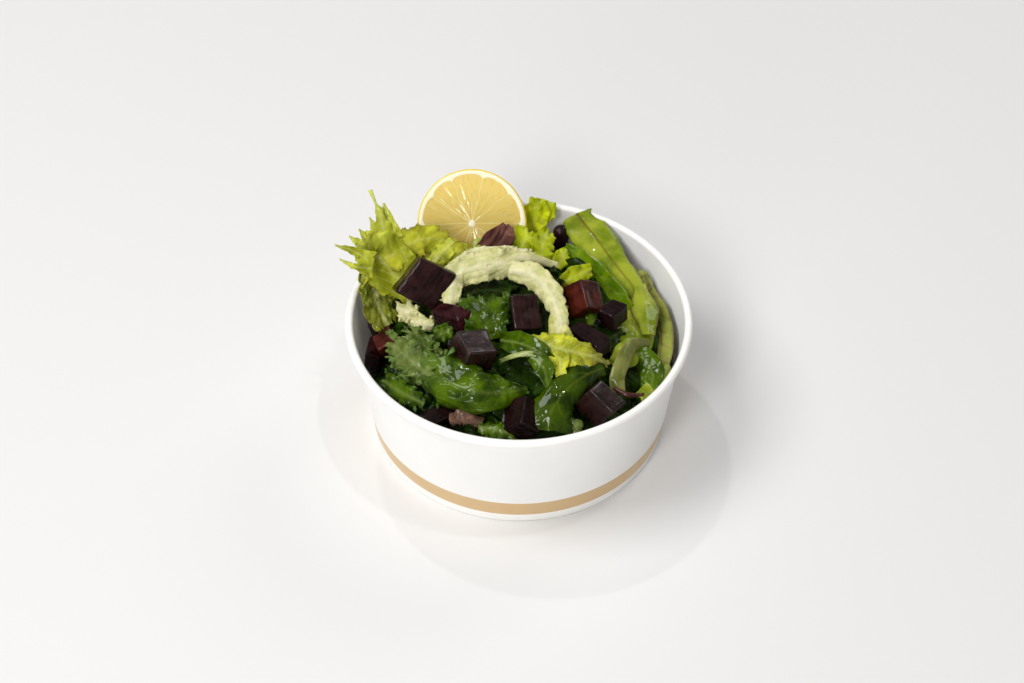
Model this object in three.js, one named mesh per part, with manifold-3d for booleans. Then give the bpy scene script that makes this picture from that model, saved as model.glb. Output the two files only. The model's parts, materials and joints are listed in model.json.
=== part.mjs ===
// A green salad in a round paper cup: a heap of lettuce, kale, napa cabbage and
// chard, with cubes of cooked beetroot set into it and a slice of lemon leaning
// on the back rim. Millimetres, +Z up; +Y is the far side, +X the right side.
// The cup stands on z = 0.
import * as THREE from "three";
import { ConvexGeometry } from "three/addons/geometries/ConvexGeometry.js";
import { mergeVertices } from "three/addons/utils/BufferGeometryUtils.js";
import Module from "manifold-3d";

const wasm = await Module();
wasm.setup();

// ---------------------------------------------------------------- cup sizes
const RIM_DIAMETER = 150;
const BASE_DIAMETER = 128;
const CUP_HEIGHT = 61;
const ROLL_DIAMETER = 3.5; // the rolled rim
const WALL = 0.8; // paper wall
const FOOT_HEIGHT = 6; // standing ring below the bottom disc
const FOOT_WIDTH = 1.5;
const ROLL_STEPS = 7; // facets of 45 degrees, round to the wall's inner face
const ROLL_START = (-3 * Math.PI) / 4;
const CUP_SIDES = 60;

// The middle of the whole outline, measured from the cup's axis.
const MIDDLE = { x: -2, y: 0 };

// --------------------------------------------------------------- food sizes
const GAP = 0.35; // clearance between neighbouring pieces
const LEAF_THICKNESS = 1.2;
const LEAF_CELL = 5; // size of a leaf's facets
const ROWS_PER_WAVE = 3;
const WAVE_START = [-0.6, 2]; // where the waves of the left and right margin begin
const LEMON_DIAMETER = 48.5;
const LEMON_THICKNESS = 5;
const LEMON_PITH = 2.6; // width of rind and pith together
const LEMON_STEP = 0.5; // how far the flesh lies below the pith
const LEMON_SLOPE = 1; // width of the step's slope
const LEMON_BEVEL = 0.8;
const LEMON_SIDES = 44;
const BEET_CHAMFER = 0.6;
const BEET_SKEW = 0.05; // how far a hand-cut block is out of square

// The heap's core: height at the wall, and above the middle of the cup.
const CORE_RINGS = 9;
const CORE_SIDES = 40;
const CORE_EDGE = 41;
const CORE_TOP = 70.5;
const CORE_FULLNESS = 2.5; // how bulging the dome is: 2 is a plain paraboloid
const CORE_MIDDLE = { x: -3, y: 0 };
const CORE_LUMP = 1.2; // height of the core's lumps
const LUMP_LENGTH = { x: 18, y: 20 };
// Where the core lies lower at the wall: direction in degrees, width, depth.
const CORE_DIPS = [
  { at: 188, width: 48, depth: 11 },
  { at: 42, width: 26, depth: 6 },
];

// ------------------------------------------------------------ small helpers
const vec = (p) => new THREE.Vector3(...p);
const lerp = THREE.MathUtils.lerp;

// A number that changes smoothly along a list of values, for t from 0 to 1.
function along(values, t) {
  const at = t * (values.length - 1);
  const i = Math.min(Math.floor(at), values.length - 2);
  const ease = at - i;
  const s = ease * ease * (3 - 2 * ease);
  return lerp(values[i], values[i + 1], s);
}

function solid(vertices, triangles) {
  return new wasm.Manifold(
    new wasm.Mesh({
      numProp: 3,
      vertProperties: new Float32Array(vertices),
      triVerts: new Uint32Array(triangles),
    }),
  );
}

function solidOf(geometry) {
  geometry.deleteAttribute("normal");
  geometry.deleteAttribute("uv");
  const merged = mergeVertices(geometry, 1e-4);
  return solid(merged.attributes.position.array, merged.index.array);
}

function geometryOf(body) {
  const mesh = body.getMesh();
  const points = new Float32Array(mesh.numVert * 3);
  for (let i = 0; i < mesh.numVert; i++) {
    const from = i * mesh.numProp;
    points.set(mesh.vertProperties.subarray(from, from + 3), i * 3);
  }
  const geometry = new THREE.BufferGeometry();
  geometry.setAttribute("position", new THREE.BufferAttribute(points, 3));
  geometry.setIndex(new THREE.BufferAttribute(mesh.triVerts, 1));
  geometry.computeVertexNormals();
  return geometry;
}

function largest(body) {
  const pieces = body.decompose();
  return pieces.reduce((a, b) => (b.volume() > a.volume() ? b : a));
}

function material(color, roughness) {
  return new THREE.MeshStandardMaterial({ color, roughness, metalness: 0 });
}

// --------------------------------------------------------------------- cup
const ROLL_RADIUS = ROLL_DIAMETER / 2;
const RIM_MIDDLE = RIM_DIAMETER / 2 - ROLL_RADIUS;
const ROLL_HEIGHT = CUP_HEIGHT - ROLL_RADIUS;
const WALL_TOP = RIM_MIDDLE - ROLL_RADIUS + WALL; // outer face, under the roll
const FLOOR = FOOT_HEIGHT + WALL;

// Radius of the wall's outer face at height z.
function wallOuter(z) {
  return lerp(BASE_DIAMETER / 2, WALL_TOP, z / ROLL_HEIGHT);
}

// The cup's section from under its middle, round the rim, to above its middle.
// With grow over 0 it is the cup with that much clearance on the food's side.
function cupProfile(grow) {
  const foot = BASE_DIAMETER / 2;
  const inFoot = foot - FOOT_WIDTH;
  const points = [[0, FOOT_HEIGHT], [inFoot, FOOT_HEIGHT], [inFoot, 0], [foot, 0]];
  const radius = ROLL_RADIUS + grow;
  for (let i = 0; i <= ROLL_STEPS; i++) {
    const angle = lerp(ROLL_START, Math.PI, i / ROLL_STEPS);
    const r = RIM_MIDDLE + radius * Math.cos(angle);
    points.push([r, ROLL_HEIGHT + radius * Math.sin(angle)]);
  }
  points.push([wallOuter(FLOOR) - WALL - grow, FLOOR + grow], [0, FLOOR + grow]);
  return points.map(([r, z]) => new THREE.Vector2(r, z));
}

function cupSolid(grow = 0) {
  const geometry = new THREE.LatheGeometry(cupProfile(grow), CUP_SIDES);
  geometry.rotateX(Math.PI / 2);
  return solidOf(geometry);
}

// -------------------------------------------------------------------- leaf
// Where the share s of a half width of 1 lies, out and up, when the half width
// is bent into an arc of the angle turn.
function rolled(turn, s) {
  return turn === 0 ? [s, 0] : [Math.sin(turn * s) / turn, (1 - Math.cos(turn * s)) / turn];
}

// A leaf or a torn piece of one: a thin wavy solid along a spine. half holds its
// half widths in mm from base to tip, face and faceEnd the way its upper side
// looks, curl the angle that each edge has turned up by, fold the angle of its
// V, ruffle and waves the waves of its margin, teeth their depth.
function leafSolid(leaf) {
  const { spine, half, face, faceEnd = face } = leaf;
  const { curl = [0, 0], fold = 0, ruffle = 0, waves = 0, teeth = 0 } = leaf;
  const { thickness = LEAF_THICKNESS } = leaf;
  const curve = new THREE.CatmullRomCurve3(spine.map(vec), false, "centripetal");
  const length = curve.getLength();
  const width = 2 * Math.max(...half);
  const rows = Math.max(4, Math.round(length / LEAF_CELL), Math.ceil(waves * ROWS_PER_WAVE));
  const columns = 2 * Math.max(1, Math.round(width / (2 * LEAF_CELL)));
  const middle = [];
  for (let i = 0; i <= rows; i++) {
    const t = i / rows;
    const tangent = curve.getTangent(t);
    const up = vec(face).lerp(vec(faceEnd), t);
    up.addScaledVector(tangent, -up.dot(tangent)).normalize();
    const side = new THREE.Vector3().crossVectors(up, tangent);
    const jag = 1 + teeth * ((i % 2) - 0.5);
    for (let j = 0; j <= columns; j++) {
      const s = (2 * j) / columns - 1;
      const hand = s < 0 ? -1 : 1;
      const reach = along(half, t) * (1 + (jag - 1) * s * s);
      const edge = s < 0 ? 0 : 1;
      const [bend, rise] = rolled(curl[edge], Math.abs(s));
      const out = side.clone().multiplyScalar(hand * Math.cos(fold));
      out.addScaledVector(up, Math.sin(fold));
      const over = up.clone().multiplyScalar(Math.cos(fold));
      over.addScaledVector(side, -hand * Math.sin(fold));
      const wave = Math.sin(2 * Math.PI * waves * t + WAVE_START[edge]);
      const point = curve.getPoint(t);
      point.addScaledVector(out, reach * bend);
      point.addScaledVector(over, reach * rise + ruffle * s * s * wave);
      middle.push(point);
    }
  }
  return thicken(middle, rows, columns, thickness);
}

// A closed solid of even thickness about a grid of points, both faces split
// into triangles alike.
function thicken(middle, rows, columns, thickness) {
  const at = (i, j) => i * (columns + 1) + j;
  const clamp = THREE.MathUtils.clamp;
  const vertices = [];
  for (const sign of [1, -1]) {
    for (let i = 0; i <= rows; i++) {
      for (let j = 0; j <= columns; j++) {
        const ahead = middle[at(clamp(i + 1, 0, rows), j)].clone();
        ahead.sub(middle[at(clamp(i - 1, 0, rows), j)]);
        const across = middle[at(i, clamp(j + 1, 0, columns))].clone();
        across.sub(middle[at(i, clamp(j - 1, 0, columns))]);
        const normal = ahead.cross(across).normalize();
        const point = middle[at(i, j)].clone();
        point.addScaledVector(normal, (sign * thickness) / 2);
        vertices.push(point.x, point.y, point.z);
      }
    }
  }
  const below = middle.length;
  const triangles = [];
  const face = (a, b, c) => {
    triangles.push(a, b, c, a + below, c + below, b + below);
  };
  for (let i = 0; i < rows; i++) {
    for (let j = 0; j < columns; j++) {
      face(at(i, j), at(i + 1, j), at(i + 1, j + 1));
      face(at(i, j), at(i + 1, j + 1), at(i, j + 1));
    }
  }
  const edge = (a, b) => triangles.push(b, a, a + below, b, a + below, b + below);
  for (let i = 0; i < rows; i++) {
    edge(at(i, 0), at(i + 1, 0));
    edge(at(i + 1, columns), at(i, columns));
  }
  for (let j = 0; j < columns; j++) {
    edge(at(rows, j), at(rows, j + 1));
    edge(at(0, j + 1), at(0, j));
  }
  return solid(vertices, triangles);
}

// The directions in which leaves look: towards the front and up, and tilted
// from there to one side or the other.
const FRONT = [0, -0.7, 0.7];
const UP = [0, -0.2, 1];
const LEFT = [-0.5, -0.6, 0.6];
const RIGHT = [0.5, -0.5, 0.7];
const STEEP = [0, -0.95, 0.3];
const BACK = [0, 0.5, 0.85];

const LEAVES = {
  lettuce_fan: {
    spine: [[-42, 12, 53], [-50, 16, 64], [-57, 20, 75], [-66, 24, 82], [-77, 25, 86]],
    half: [3, 7, 12, 12.5, 8], face: [0.3, -0.75, 0.6], faceEnd: [0.1, -0.7, 0.7],
    curl: [0.5, 0.3], ruffle: 1.6, waves: 4, teeth: 0.3,
  },
  lettuce_spike: {
    spine: [[-56, 20, 73], [-60, 36, 86], [-64, 47, 91]],
    half: [5, 2.4, 0.8], face: FRONT,
  },
  lettuce_crest: {
    spine: [[-58, 22, 74], [-47, 30, 76], [-37, 35, 74], [-28, 36, 69], [-18, 34, 65]],
    half: [8, 7, 6, 3.5, 1.6], face: FRONT, curl: [-0.5, -0.6], ruffle: 1, waves: 4,
  },
  lettuce_hang: {
    spine: [[-59, 26, 66], [-61, 18, 60], [-60, 12, 54], [-55, 7, 49]],
    half: [8, 7.5, 7, 5], face: RIGHT, curl: [0.2, -0.4], ruffle: 1.2, waves: 3.5, teeth: 0.15,
  },
  lettuce_up: {
    spine: [[8, 58, 50], [8, 63, 58], [7, 66, 68]],
    half: [3.5, 5.5, 2.5], face: STEEP, fold: 0.35,
  },
  lettuce_mid: {
    spine: [[-4, 42, 59], [2, 48, 63], [7, 52, 61]],
    half: [3, 5.5, 3], face: FRONT, curl: [-0.6, 0.3],
  },
  lettuce_bud: {
    spine: [[13, 39, 55], [12, 46, 60], [13, 54, 61]],
    half: [5, 4.5, 3], face: FRONT, curl: [-0.5, 0.6], ruffle: 0.7,
  },
  red_under: {
    spine: [[-19, 34, 63], [-10, 38, 67], [-2, 44, 68]],
    half: [1.6, 4.5, 3.5], face: FRONT, curl: [0.3, 0.8],
  },
  red_over: {
    spine: [[-16, 37, 66], [-10, 42, 70], [-5, 45, 72]],
    half: [1.4, 3, 2], face: FRONT, fold: 0.3,
  },
  napa_body: {
    spine: [[-31, 3, 65], [-28, 13, 71], [-17, 16, 74], [-4, 19, 74], [8, 23, 71]],
    half: [3, 6, 7, 6.5, 4], face: FRONT, curl: [-0.6, -0.5], ruffle: 1.2, waves: 5,
  },
  napa_rib: {
    spine: [[-12, 20, 74], [3, 22, 74], [17, 23, 68]],
    half: [1.2, 2.2, 1.6], face: FRONT, thickness: 2.4,
  },
  napa_arm: {
    spine: [[0, 17, 72], [9, 8, 73], [16, -3, 71], [18, -12, 69], [16, -20, 66]],
    half: [5, 5.5, 5, 4, 3], face: FRONT, curl: [-0.5, -0.4], ruffle: 0.9, waves: 5,
  },
  napa_lump: {
    spine: [[-50, 5, 58], [-45, -2, 61], [-37, -8, 62]],
    half: [4.5, 4.5, 3.5], face: FRONT, curl: [-0.8, -0.8], ruffle: 1.2, waves: 3, thickness: 2,
  },
  yellow_leaf: {
    spine: [[6, -22, 66], [16, -28, 69], [27, -29, 67], [38, -26, 59]],
    half: [3, 6, 5, 1.5], face: FRONT, curl: [-0.3, -0.5], ruffle: 0.8, waves: 3,
  },
  yellow_flap: {
    spine: [[15, -27, 67], [16, -34, 64], [16, -38, 60]],
    half: [5, 3, 1.4], face: STEEP, curl: [0.4, 0.4],
  },
  kale_curl: {
    spine: [[-12, -20, 65], [-14, -12, 72], [-16, 1, 75]],
    half: [7, 10, 11], face: FRONT, curl: [0.5, 0.4], ruffle: 2, waves: 3, teeth: 0.15,
  },
  kale_midrib: {
    spine: [[-6, -20, 68], [-7, -13, 73], [-9, -6, 75]],
    half: [2.4, 2.6, 2], face: FRONT, fold: -0.3,
  },
  kale_back: {
    spine: [[7, 24, 64], [13, 18, 67], [18, 12, 66]],
    half: [3, 5, 3], face: FRONT, ruffle: 1, waves: 2,
  },
  kale_dark: {
    spine: [[11, 1, 65], [12, -9, 66], [12, -18, 63]],
    half: [3, 4, 4], face: FRONT, curl: [-0.5, -0.5],
  },
  light_leaf: {
    spine: [[18, 15, 65], [24, 18, 67], [32, 25, 65]],
    half: [3, 4.5, 3], face: FRONT, curl: [-0.4, 0.4],
  },
  kale_blade: {
    spine: [[4, -43, 59], [-10, -46, 63], [-25, -45, 66], [-40, -36, 64], [-54, -24, 57]],
    half: [3, 9.5, 13, 15, 12], face: FRONT, faceEnd: LEFT,
    curl: [-0.8, -0.7], ruffle: 1.8, waves: 5.5, teeth: 0.12,
  },
  kale_tuft: {
    spine: [[-38, -21, 62], [-33, -20, 67], [-29, -15, 69]],
    half: [4, 5, 4], face: FRONT, ruffle: 1.3, waves: 3, teeth: 0.3,
  },
  kale_lower: {
    spine: [[-43, -38, 51], [-51, -36, 53], [-58, -29, 51]],
    half: [5, 6, 4], face: LEFT, ruffle: 1.2, waves: 3, teeth: 0.2,
  },
  arch: {
    spine: [[-15, -39, 65], [-8, -35, 69], [1, -35, 72], [8, -40, 70], [12, -46, 62]],
    half: [2, 4.5, 5, 4, 1.2], face: UP, faceEnd: RIGHT, curl: [-0.4, 0.3],
  },
  arch_back: {
    spine: [[-8, -25, 69], [3, -30, 71], [14, -34, 66]],
    half: [3, 4, 2.5], face: FRONT, curl: [0.3, 0.3],
  },
  front_leaf: {
    spine: [[37, -32, 60], [27, -42, 62], [17, -50, 60], [9, -59, 51]],
    half: [4, 8, 9.5, 8], face: FRONT, curl: [-0.5, -0.5], ruffle: 1.4, waves: 3.5,
  },
  front_frill: {
    spine: [[24, -48, 58], [27, -54, 55], [24, -57, 51]],
    half: [3, 4.5, 4], face: FRONT, ruffle: 1.4, waves: 2.5, teeth: 0.25,
  },
  chard_blade: {
    spine: [[28, 66, 61], [34, 52, 60], [41, 39, 57], [49, 27, 53], [54, 13, 50]],
    half: [4, 9.5, 10, 8, 6], face: [0.45, -0.35, 0.8], curl: [0.15, 0.2], ruffle: 0.5, waves: 3,
  },
  chard_under: {
    spine: [[22, 42, 57], [31, 33, 57.5], [41, 22, 57], [50, 11, 54]],
    half: [3.5, 5, 5, 3], face: [-0.3, -0.85, 0.4], curl: [0.2, 0.2],
  },
  chard_curl: {
    spine: [[51, 27, 52], [55, 32, 53], [59, 30, 47]],
    half: [3, 4, 3], face: UP, faceEnd: RIGHT, curl: [-0.5, -0.5],
  },
  chard_sheet: {
    spine: [[48, 19, 54], [52, 5, 54], [54, -8, 53]],
    half: [5, 8, 8], face: FRONT, curl: [-0.3, -0.3], ruffle: 0.7, waves: 2,
  },
  chard_side: {
    spine: [[57, 31, 47], [61, 13, 47], [62, -4, 47], [59, -22, 45]],
    half: [3, 4.5, 5, 4], face: [-0.5, -0.35, 0.8], curl: [-0.3, -0.2], ruffle: 0.7, waves: 3,
  },
  chard_low: {
    spine: [[40, -13, 58], [48, -17, 56], [55, -23, 50]],
    half: [6, 9, 9], face: FRONT, curl: [-0.3, 0.2], ruffle: 1, waves: 2,
  },
  ribbon: {
    spine: [[56, -12, 54], [49, -18, 60], [44, -29, 61], [41, -36, 58], [41, -40, 54]],
    half: [2, 3, 3.4, 3.4, 3], face: FRONT, faceEnd: STEEP, curl: [-0.5, -0.5],
  },
  ribbon_under: {
    spine: [[54, -15, 53], [51, -26, 53], [48, -36, 51]],
    half: [2, 4, 4.5], face: [-0.3, -0.7, 0.6],
  },
  purple_leaf: {
    spine: [[-28, -52, 51], [-23, -55, 55], [-16, -56, 51]],
    half: [3, 4, 2.5], face: FRONT, curl: [-1, -0.8],
  },
  frill_front: {
    spine: [[-17, -56, 51], [-8, -59, 52], [1, -60, 50]],
    half: [3, 3.6, 3], face: FRONT, ruffle: 1.4, waves: 4, teeth: 0.3,
  },
  dark_leaf: {
    spine: [[19, 34, 58], [25, 30, 61], [30, 26, 60]],
    half: [3, 4.5, 3], face: FRONT,
  },
  back_left_leaf: {
    spine: [[-30, 30, 60], [-43, 40, 62], [-52, 44, 60]],
    half: [6, 9, 5], face: BACK, ruffle: 1.4, waves: 3,
  },
  back_leaf: {
    spine: [[-10, 48, 57], [-4, 56, 56], [-2, 64, 52]],
    half: [5, 7, 4], face: UP, ruffle: 1.2, waves: 3,
  },
};

// -------------------------------------------------------------------- beet
// Cooked beetroot cut by hand: middle, size and turn (degrees about X, Y, Z).
const BEETS = {
  beet_big: { at: [-40, 11, 71], size: [18.5, 11, 18.5], turn: [-25, 16, 14] },
  beet_centre: { at: [-19, -31, 71.5], size: [14.5, 14, 11], turn: [-6, 18, 25] },
  beet_block: { at: [2.5, -7, 73.5], size: [12, 11, 15.5], turn: [-21, -5, 13] },
  beet_right_red: { at: [28, 2.5, 68.3], size: [10.5, 12, 13.5], turn: [-24, -6, -50] },
  beet_right_small: { at: [40.5, -3, 65], size: [8, 10, 8.5], turn: [-4, -6, -42] },
  beet_stick: { at: [30, -18.5, 65.5], size: [19, 8, 7], turn: [-4, -8, -50] },
  beet_front_right: { at: [33.5, -48, 57], size: [14, 9, 15], turn: [15, 30, -35] },
  beet_front: { at: [2, -54.5, 55], size: [11, 11, 13.5], turn: [-37, 6, -48] },
  beet_long: { at: [-28.5, -9, 69.5], size: [17, 9, 8], turn: [-15, -10, -40] },
  beet_left_back: { at: [-58.5, 14, 42], size: [9, 10, 11], turn: [10, 10, 20] },
  beet_left_wall: { at: [-61.5, -1, 36], size: [7, 12, 11], turn: [5, 8, -8] },
  beet_left_red: { at: [-57, -4, 48.5], size: [9, 9, 9], turn: [12, -20, 25] },
  beet_front_left: { at: [-34, -49, 49], size: [15, 8, 12], turn: [10, 6, 35] },
  beet_back: { at: [19, 58, 53], size: [6, 6, 10], turn: [-15, 0, 8] },
};

const SIGNS = [-1, 1];
const CORNERS = SIGNS.flatMap((x) => SIGNS.flatMap((y) => SIGNS.map((z) => [x, y, z])));

// A block with its eight corners and twelve edges cut off, slightly out of
// square like a piece cut by hand. With grow over 0 it is square and has that
// much clearance all round.
function beetSolid(beet, grow = 0) {
  const size = vec(beet.size).addScalar(2 * grow);
  const turn = new THREE.Euler(...beet.turn.map(THREE.MathUtils.degToRad));
  const place = new THREE.Matrix4().makeRotationFromEuler(turn);
  place.setPosition(vec(beet.at));
  const corners = [];
  for (const [x, y, z] of CORNERS) {
    const skew = 1 + BEET_SKEW * (grow ? 1 : x * y * z);
    for (const axis of [0, 1, 2]) {
      const half = size.clone().multiplyScalar(0.5).subScalar(BEET_CHAMFER);
      half.setComponent(axis, half.getComponent(axis) + BEET_CHAMFER);
      corners.push(vec([x, y, z]).multiply(half).multiplyScalar(skew).applyMatrix4(place));
    }
  }
  return solidOf(new ConvexGeometry(corners));
}

// ------------------------------------------------------------------- lemon
// The slice's middle, and how far it leans back from lying flat, in degrees.
const LEMON = { at: [-20.7, 54.8, 64.5], lean: 45 };

// A round slice whose flesh lies a little below its pith on both sides.
function lemonSolid(grow = 0) {
  const outer = LEMON_DIAMETER / 2 + grow;
  const top = LEMON_THICKNESS / 2 + grow;
  const flesh = outer - LEMON_PITH - grow;
  const low = top - LEMON_STEP;
  const upper = [
    [outer, top - LEMON_BEVEL], [outer - LEMON_BEVEL, top],
    [flesh, top], [flesh - LEMON_SLOPE, low], [0, low],
  ];
  const lower = upper.map(([r, z]) => [r, -z]).reverse();
  const profile = [...lower, ...upper].map(([r, z]) => new THREE.Vector2(r, z));
  const geometry = new THREE.LatheGeometry(profile, LEMON_SIDES);
  geometry.rotateX(Math.PI / 2 + THREE.MathUtils.degToRad(LEMON.lean));
  geometry.translate(...LEMON.at);
  return solidOf(geometry);
}

// -------------------------------------------------------------------- core
// Height of the core's edge at the wall in the direction of angle.
function coreEdge(angle) {
  let height = CORE_EDGE;
  for (const dip of CORE_DIPS) {
    const off = Math.cos(angle - THREE.MathUtils.degToRad(dip.at));
    const spread = Math.cos(THREE.MathUtils.degToRad(dip.width));
    height -= dip.depth * Math.max(0, (off - spread) / (1 - spread));
  }
  return height;
}

// The inner mass of the heap: it fills the cup and rises to a lumpy dome.
function coreSolid() {
  const vertices = [0, 0, FLOOR + GAP];
  const bottom = wallOuter(FLOOR) - WALL - 2 * GAP;
  for (let k = 0; k < CORE_SIDES; k++) {
    const angle = (2 * Math.PI * k) / CORE_SIDES;
    vertices.push(bottom * Math.cos(angle), bottom * Math.sin(angle), FLOOR + GAP);
  }
  for (let ring = 0; ring < CORE_RINGS; ring++) {
    const share = 1 - ring / CORE_RINGS;
    for (let k = 0; k < CORE_SIDES; k++) {
      const angle = (2 * Math.PI * k) / CORE_SIDES;
      const edge = coreEdge(angle);
      const radius = (wallOuter(edge) - WALL - 2 * GAP) * share;
      const x = radius * Math.cos(angle) + CORE_MIDDLE.x * (1 - share);
      const y = radius * Math.sin(angle) + CORE_MIDDLE.y * (1 - share);
      const dome = lerp(CORE_TOP, edge, share ** CORE_FULLNESS);
      const acrossLump = Math.sin((2 * Math.PI * x) / LUMP_LENGTH.x);
      const alongLump = Math.cos((2 * Math.PI * y) / LUMP_LENGTH.y);
      vertices.push(x, y, dome + CORE_LUMP * acrossLump * alongLump * Math.sin(Math.PI * share));
    }
  }
  vertices.push(CORE_MIDDLE.x, CORE_MIDDLE.y, CORE_TOP);
  const apex = vertices.length / 3 - 1;
  const ringStart = (ring) => 1 + ring * CORE_SIDES;
  const triangles = [];
  for (let k = 0; k < CORE_SIDES; k++) {
    const next = (k + 1) % CORE_SIDES;
    triangles.push(0, 1 + next, 1 + k);
    for (let ring = 0; ring < CORE_RINGS; ring++) {
      const low = ringStart(ring);
      const high = ringStart(ring + 1);
      triangles.push(low + k, low + next, high + next, low + k, high + next, high + k);
    }
    const last = ringStart(CORE_RINGS);
    triangles.push(last + k, last + next, apex);
  }
  return solid(vertices, triangles);
}

// -------------------------------------------------------------------- heap
function heapSolid() {
  let heap = coreSolid();
  for (const leaf of Object.values(LEAVES)) {
    heap = heap.add(leafSolid(leaf));
  }
  heap = heap.subtract(cupSolid(GAP));
  heap = heap.subtract(lemonSolid(GAP));
  for (const beet of Object.values(BEETS)) {
    heap = heap.subtract(beetSolid(beet, GAP));
  }
  return largest(heap);
}

// ---------------------------------------------------------------- assembly
const salad = new THREE.Group();
salad.name = "green_salad";
salad.position.set(-MIDDLE.x, -MIDDLE.y, 0);

function addPiece(name, body, finish) {
  const mesh = new THREE.Mesh(geometryOf(body), finish);
  mesh.name = name;
  salad.add(mesh);
}

addPiece("cup", cupSolid(), material(0xf3f1ee, 0.55));
addPiece("leaf_heap", heapSolid(), material(0x6f9a2a, 0.4));
addPiece("lemon_slice", lemonSolid(), material(0xe6cf62, 0.3));
for (const [name, beet] of Object.entries(BEETS)) {
  addPiece(name, beetSolid(beet), material(0x3a1626, 0.3));
}

export default salad;
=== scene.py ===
"""A green salad in a round paper cup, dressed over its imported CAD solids.

Sizes are in millimetres, measured from the cup's axis and standing plane, and become metres in the
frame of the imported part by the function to_frame().
"""

import json
import logging
import math
from dataclasses import dataclass, field, replace
from enum import Enum

import bpy
import numpy as np
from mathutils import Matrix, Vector

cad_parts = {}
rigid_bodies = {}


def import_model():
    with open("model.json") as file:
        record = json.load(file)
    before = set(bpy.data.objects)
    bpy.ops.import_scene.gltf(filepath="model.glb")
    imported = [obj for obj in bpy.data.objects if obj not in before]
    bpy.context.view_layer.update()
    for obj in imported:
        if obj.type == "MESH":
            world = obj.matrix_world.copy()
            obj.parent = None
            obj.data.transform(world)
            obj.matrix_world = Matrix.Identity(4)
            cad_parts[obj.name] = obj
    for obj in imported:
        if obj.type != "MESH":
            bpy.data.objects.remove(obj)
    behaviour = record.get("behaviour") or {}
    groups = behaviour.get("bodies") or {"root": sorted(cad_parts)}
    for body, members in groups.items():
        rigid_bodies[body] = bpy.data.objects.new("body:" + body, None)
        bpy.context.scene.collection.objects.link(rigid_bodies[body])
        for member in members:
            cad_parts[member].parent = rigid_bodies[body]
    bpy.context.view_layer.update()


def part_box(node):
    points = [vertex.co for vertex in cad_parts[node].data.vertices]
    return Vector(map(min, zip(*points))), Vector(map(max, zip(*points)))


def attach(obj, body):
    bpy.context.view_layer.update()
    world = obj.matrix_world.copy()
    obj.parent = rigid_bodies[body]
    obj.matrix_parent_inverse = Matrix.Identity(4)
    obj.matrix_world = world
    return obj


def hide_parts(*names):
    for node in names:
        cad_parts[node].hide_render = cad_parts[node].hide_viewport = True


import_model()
LOG = logging.getLogger("salad")

MM = 0.001
BODY = "root"
CUP_LOW, CUP_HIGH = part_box("cup")
AXIS = np.array([(CUP_LOW.x + CUP_HIGH.x) / 2, (CUP_LOW.y + CUP_HIGH.y) / 2, 0.0])

Point = tuple[float, float, float]
Tree = bpy.types.NodeTree
Socket = bpy.types.NodeSocket


# ------------------------------------------------------------------------------------ helpers
def to_frame(points: np.ndarray) -> np.ndarray:
    """Turns points in mm from the cup's axis into metres in the part's frame.

    Args:
        points: array whose last axis holds x, y, z in mm.

    Returns:
        The same points in metres.
    """
    return points * MM + AXIS


def linear(colour: str) -> tuple[float, float, float, float]:
    """Turns an sRGB hex colour into linear red, green, blue and alpha.

    Args:
        colour: six hex digits after a hash sign.

    Returns:
        The four linear values, alpha being 1.
    """
    values = [int(colour[i : i + 2], 16) / 255 for i in (1, 3, 5)]
    toned = [v / 12.92 if v <= 0.04045 else ((v + 0.055) / 1.055) ** 2.4 for v in values]
    return (toned[0], toned[1], toned[2], 1.0)


def add_node(
    tree: Tree,
    kind: str,
    settings: dict | None = None,
    values: dict | None = None,
    links: dict | None = None,
) -> bpy.types.Node:
    """Adds one node with its settings, input values and links.

    Args:
        tree: node tree that gets the node.
        kind: Blender's name for the node's type.
        settings: attributes of the node.
        values: constant for each input socket, by the socket's name or number.
        links: output socket that feeds each input, by the input's name or number.

    Returns:
        The new node.
    """
    node = tree.nodes.new(kind)
    for name, value in (settings or {}).items():
        setattr(node, name, value)
    for socket, value in (values or {}).items():
        node.inputs[socket].default_value = value
    for socket, source in (links or {}).items():
        tree.links.new(source, node.inputs[socket])
    return node


def smooth_noise(points: np.ndarray, size: float, seed: int) -> np.ndarray:
    """A smooth random field that changes over about the given size.

    Args:
        points: array of shape (n, 3).
        size: distance between two lattice points, in the points' unit.
        seed: fixed number that picks the field.

    Returns:
        One value from -1 to 1 for each point.
    """
    place = points / size + 31.7 * (seed + 1)
    cell = np.floor(place).astype(np.int64)
    share = place - cell
    share = share * share * (3 - 2 * share)
    total = np.zeros(len(points))
    for corner in np.ndindex(2, 2, 2):
        mixed = (cell + corner) @ np.array([374761393, 668265263, 2147483647]) + seed * 144665
        mixed = (mixed ^ (mixed >> 13)) * 1274126177 & 0xFFFFFFFF
        value = ((mixed ^ (mixed >> 16)) & 0xFFFF) / 32767.5 - 1
        weight = np.prod(np.where(np.array(corner) == 1, share, 1 - share), axis=1)
        total += value * weight
    return total


def rotation(degrees: Point) -> np.ndarray:
    """The matrix that turns about Z, then Y, then X by the given angles."""
    matrix = np.eye(3)
    for axis, angle in enumerate(degrees):
        c, s = math.cos(math.radians(angle)), math.sin(math.radians(angle))
        a, b = [(1, 2), (2, 0), (0, 1)][axis]
        turn = np.eye(3)
        turn[a, a], turn[a, b], turn[b, a], turn[b, b] = c, -s, s, c
        matrix = matrix @ turn
    return matrix


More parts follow.
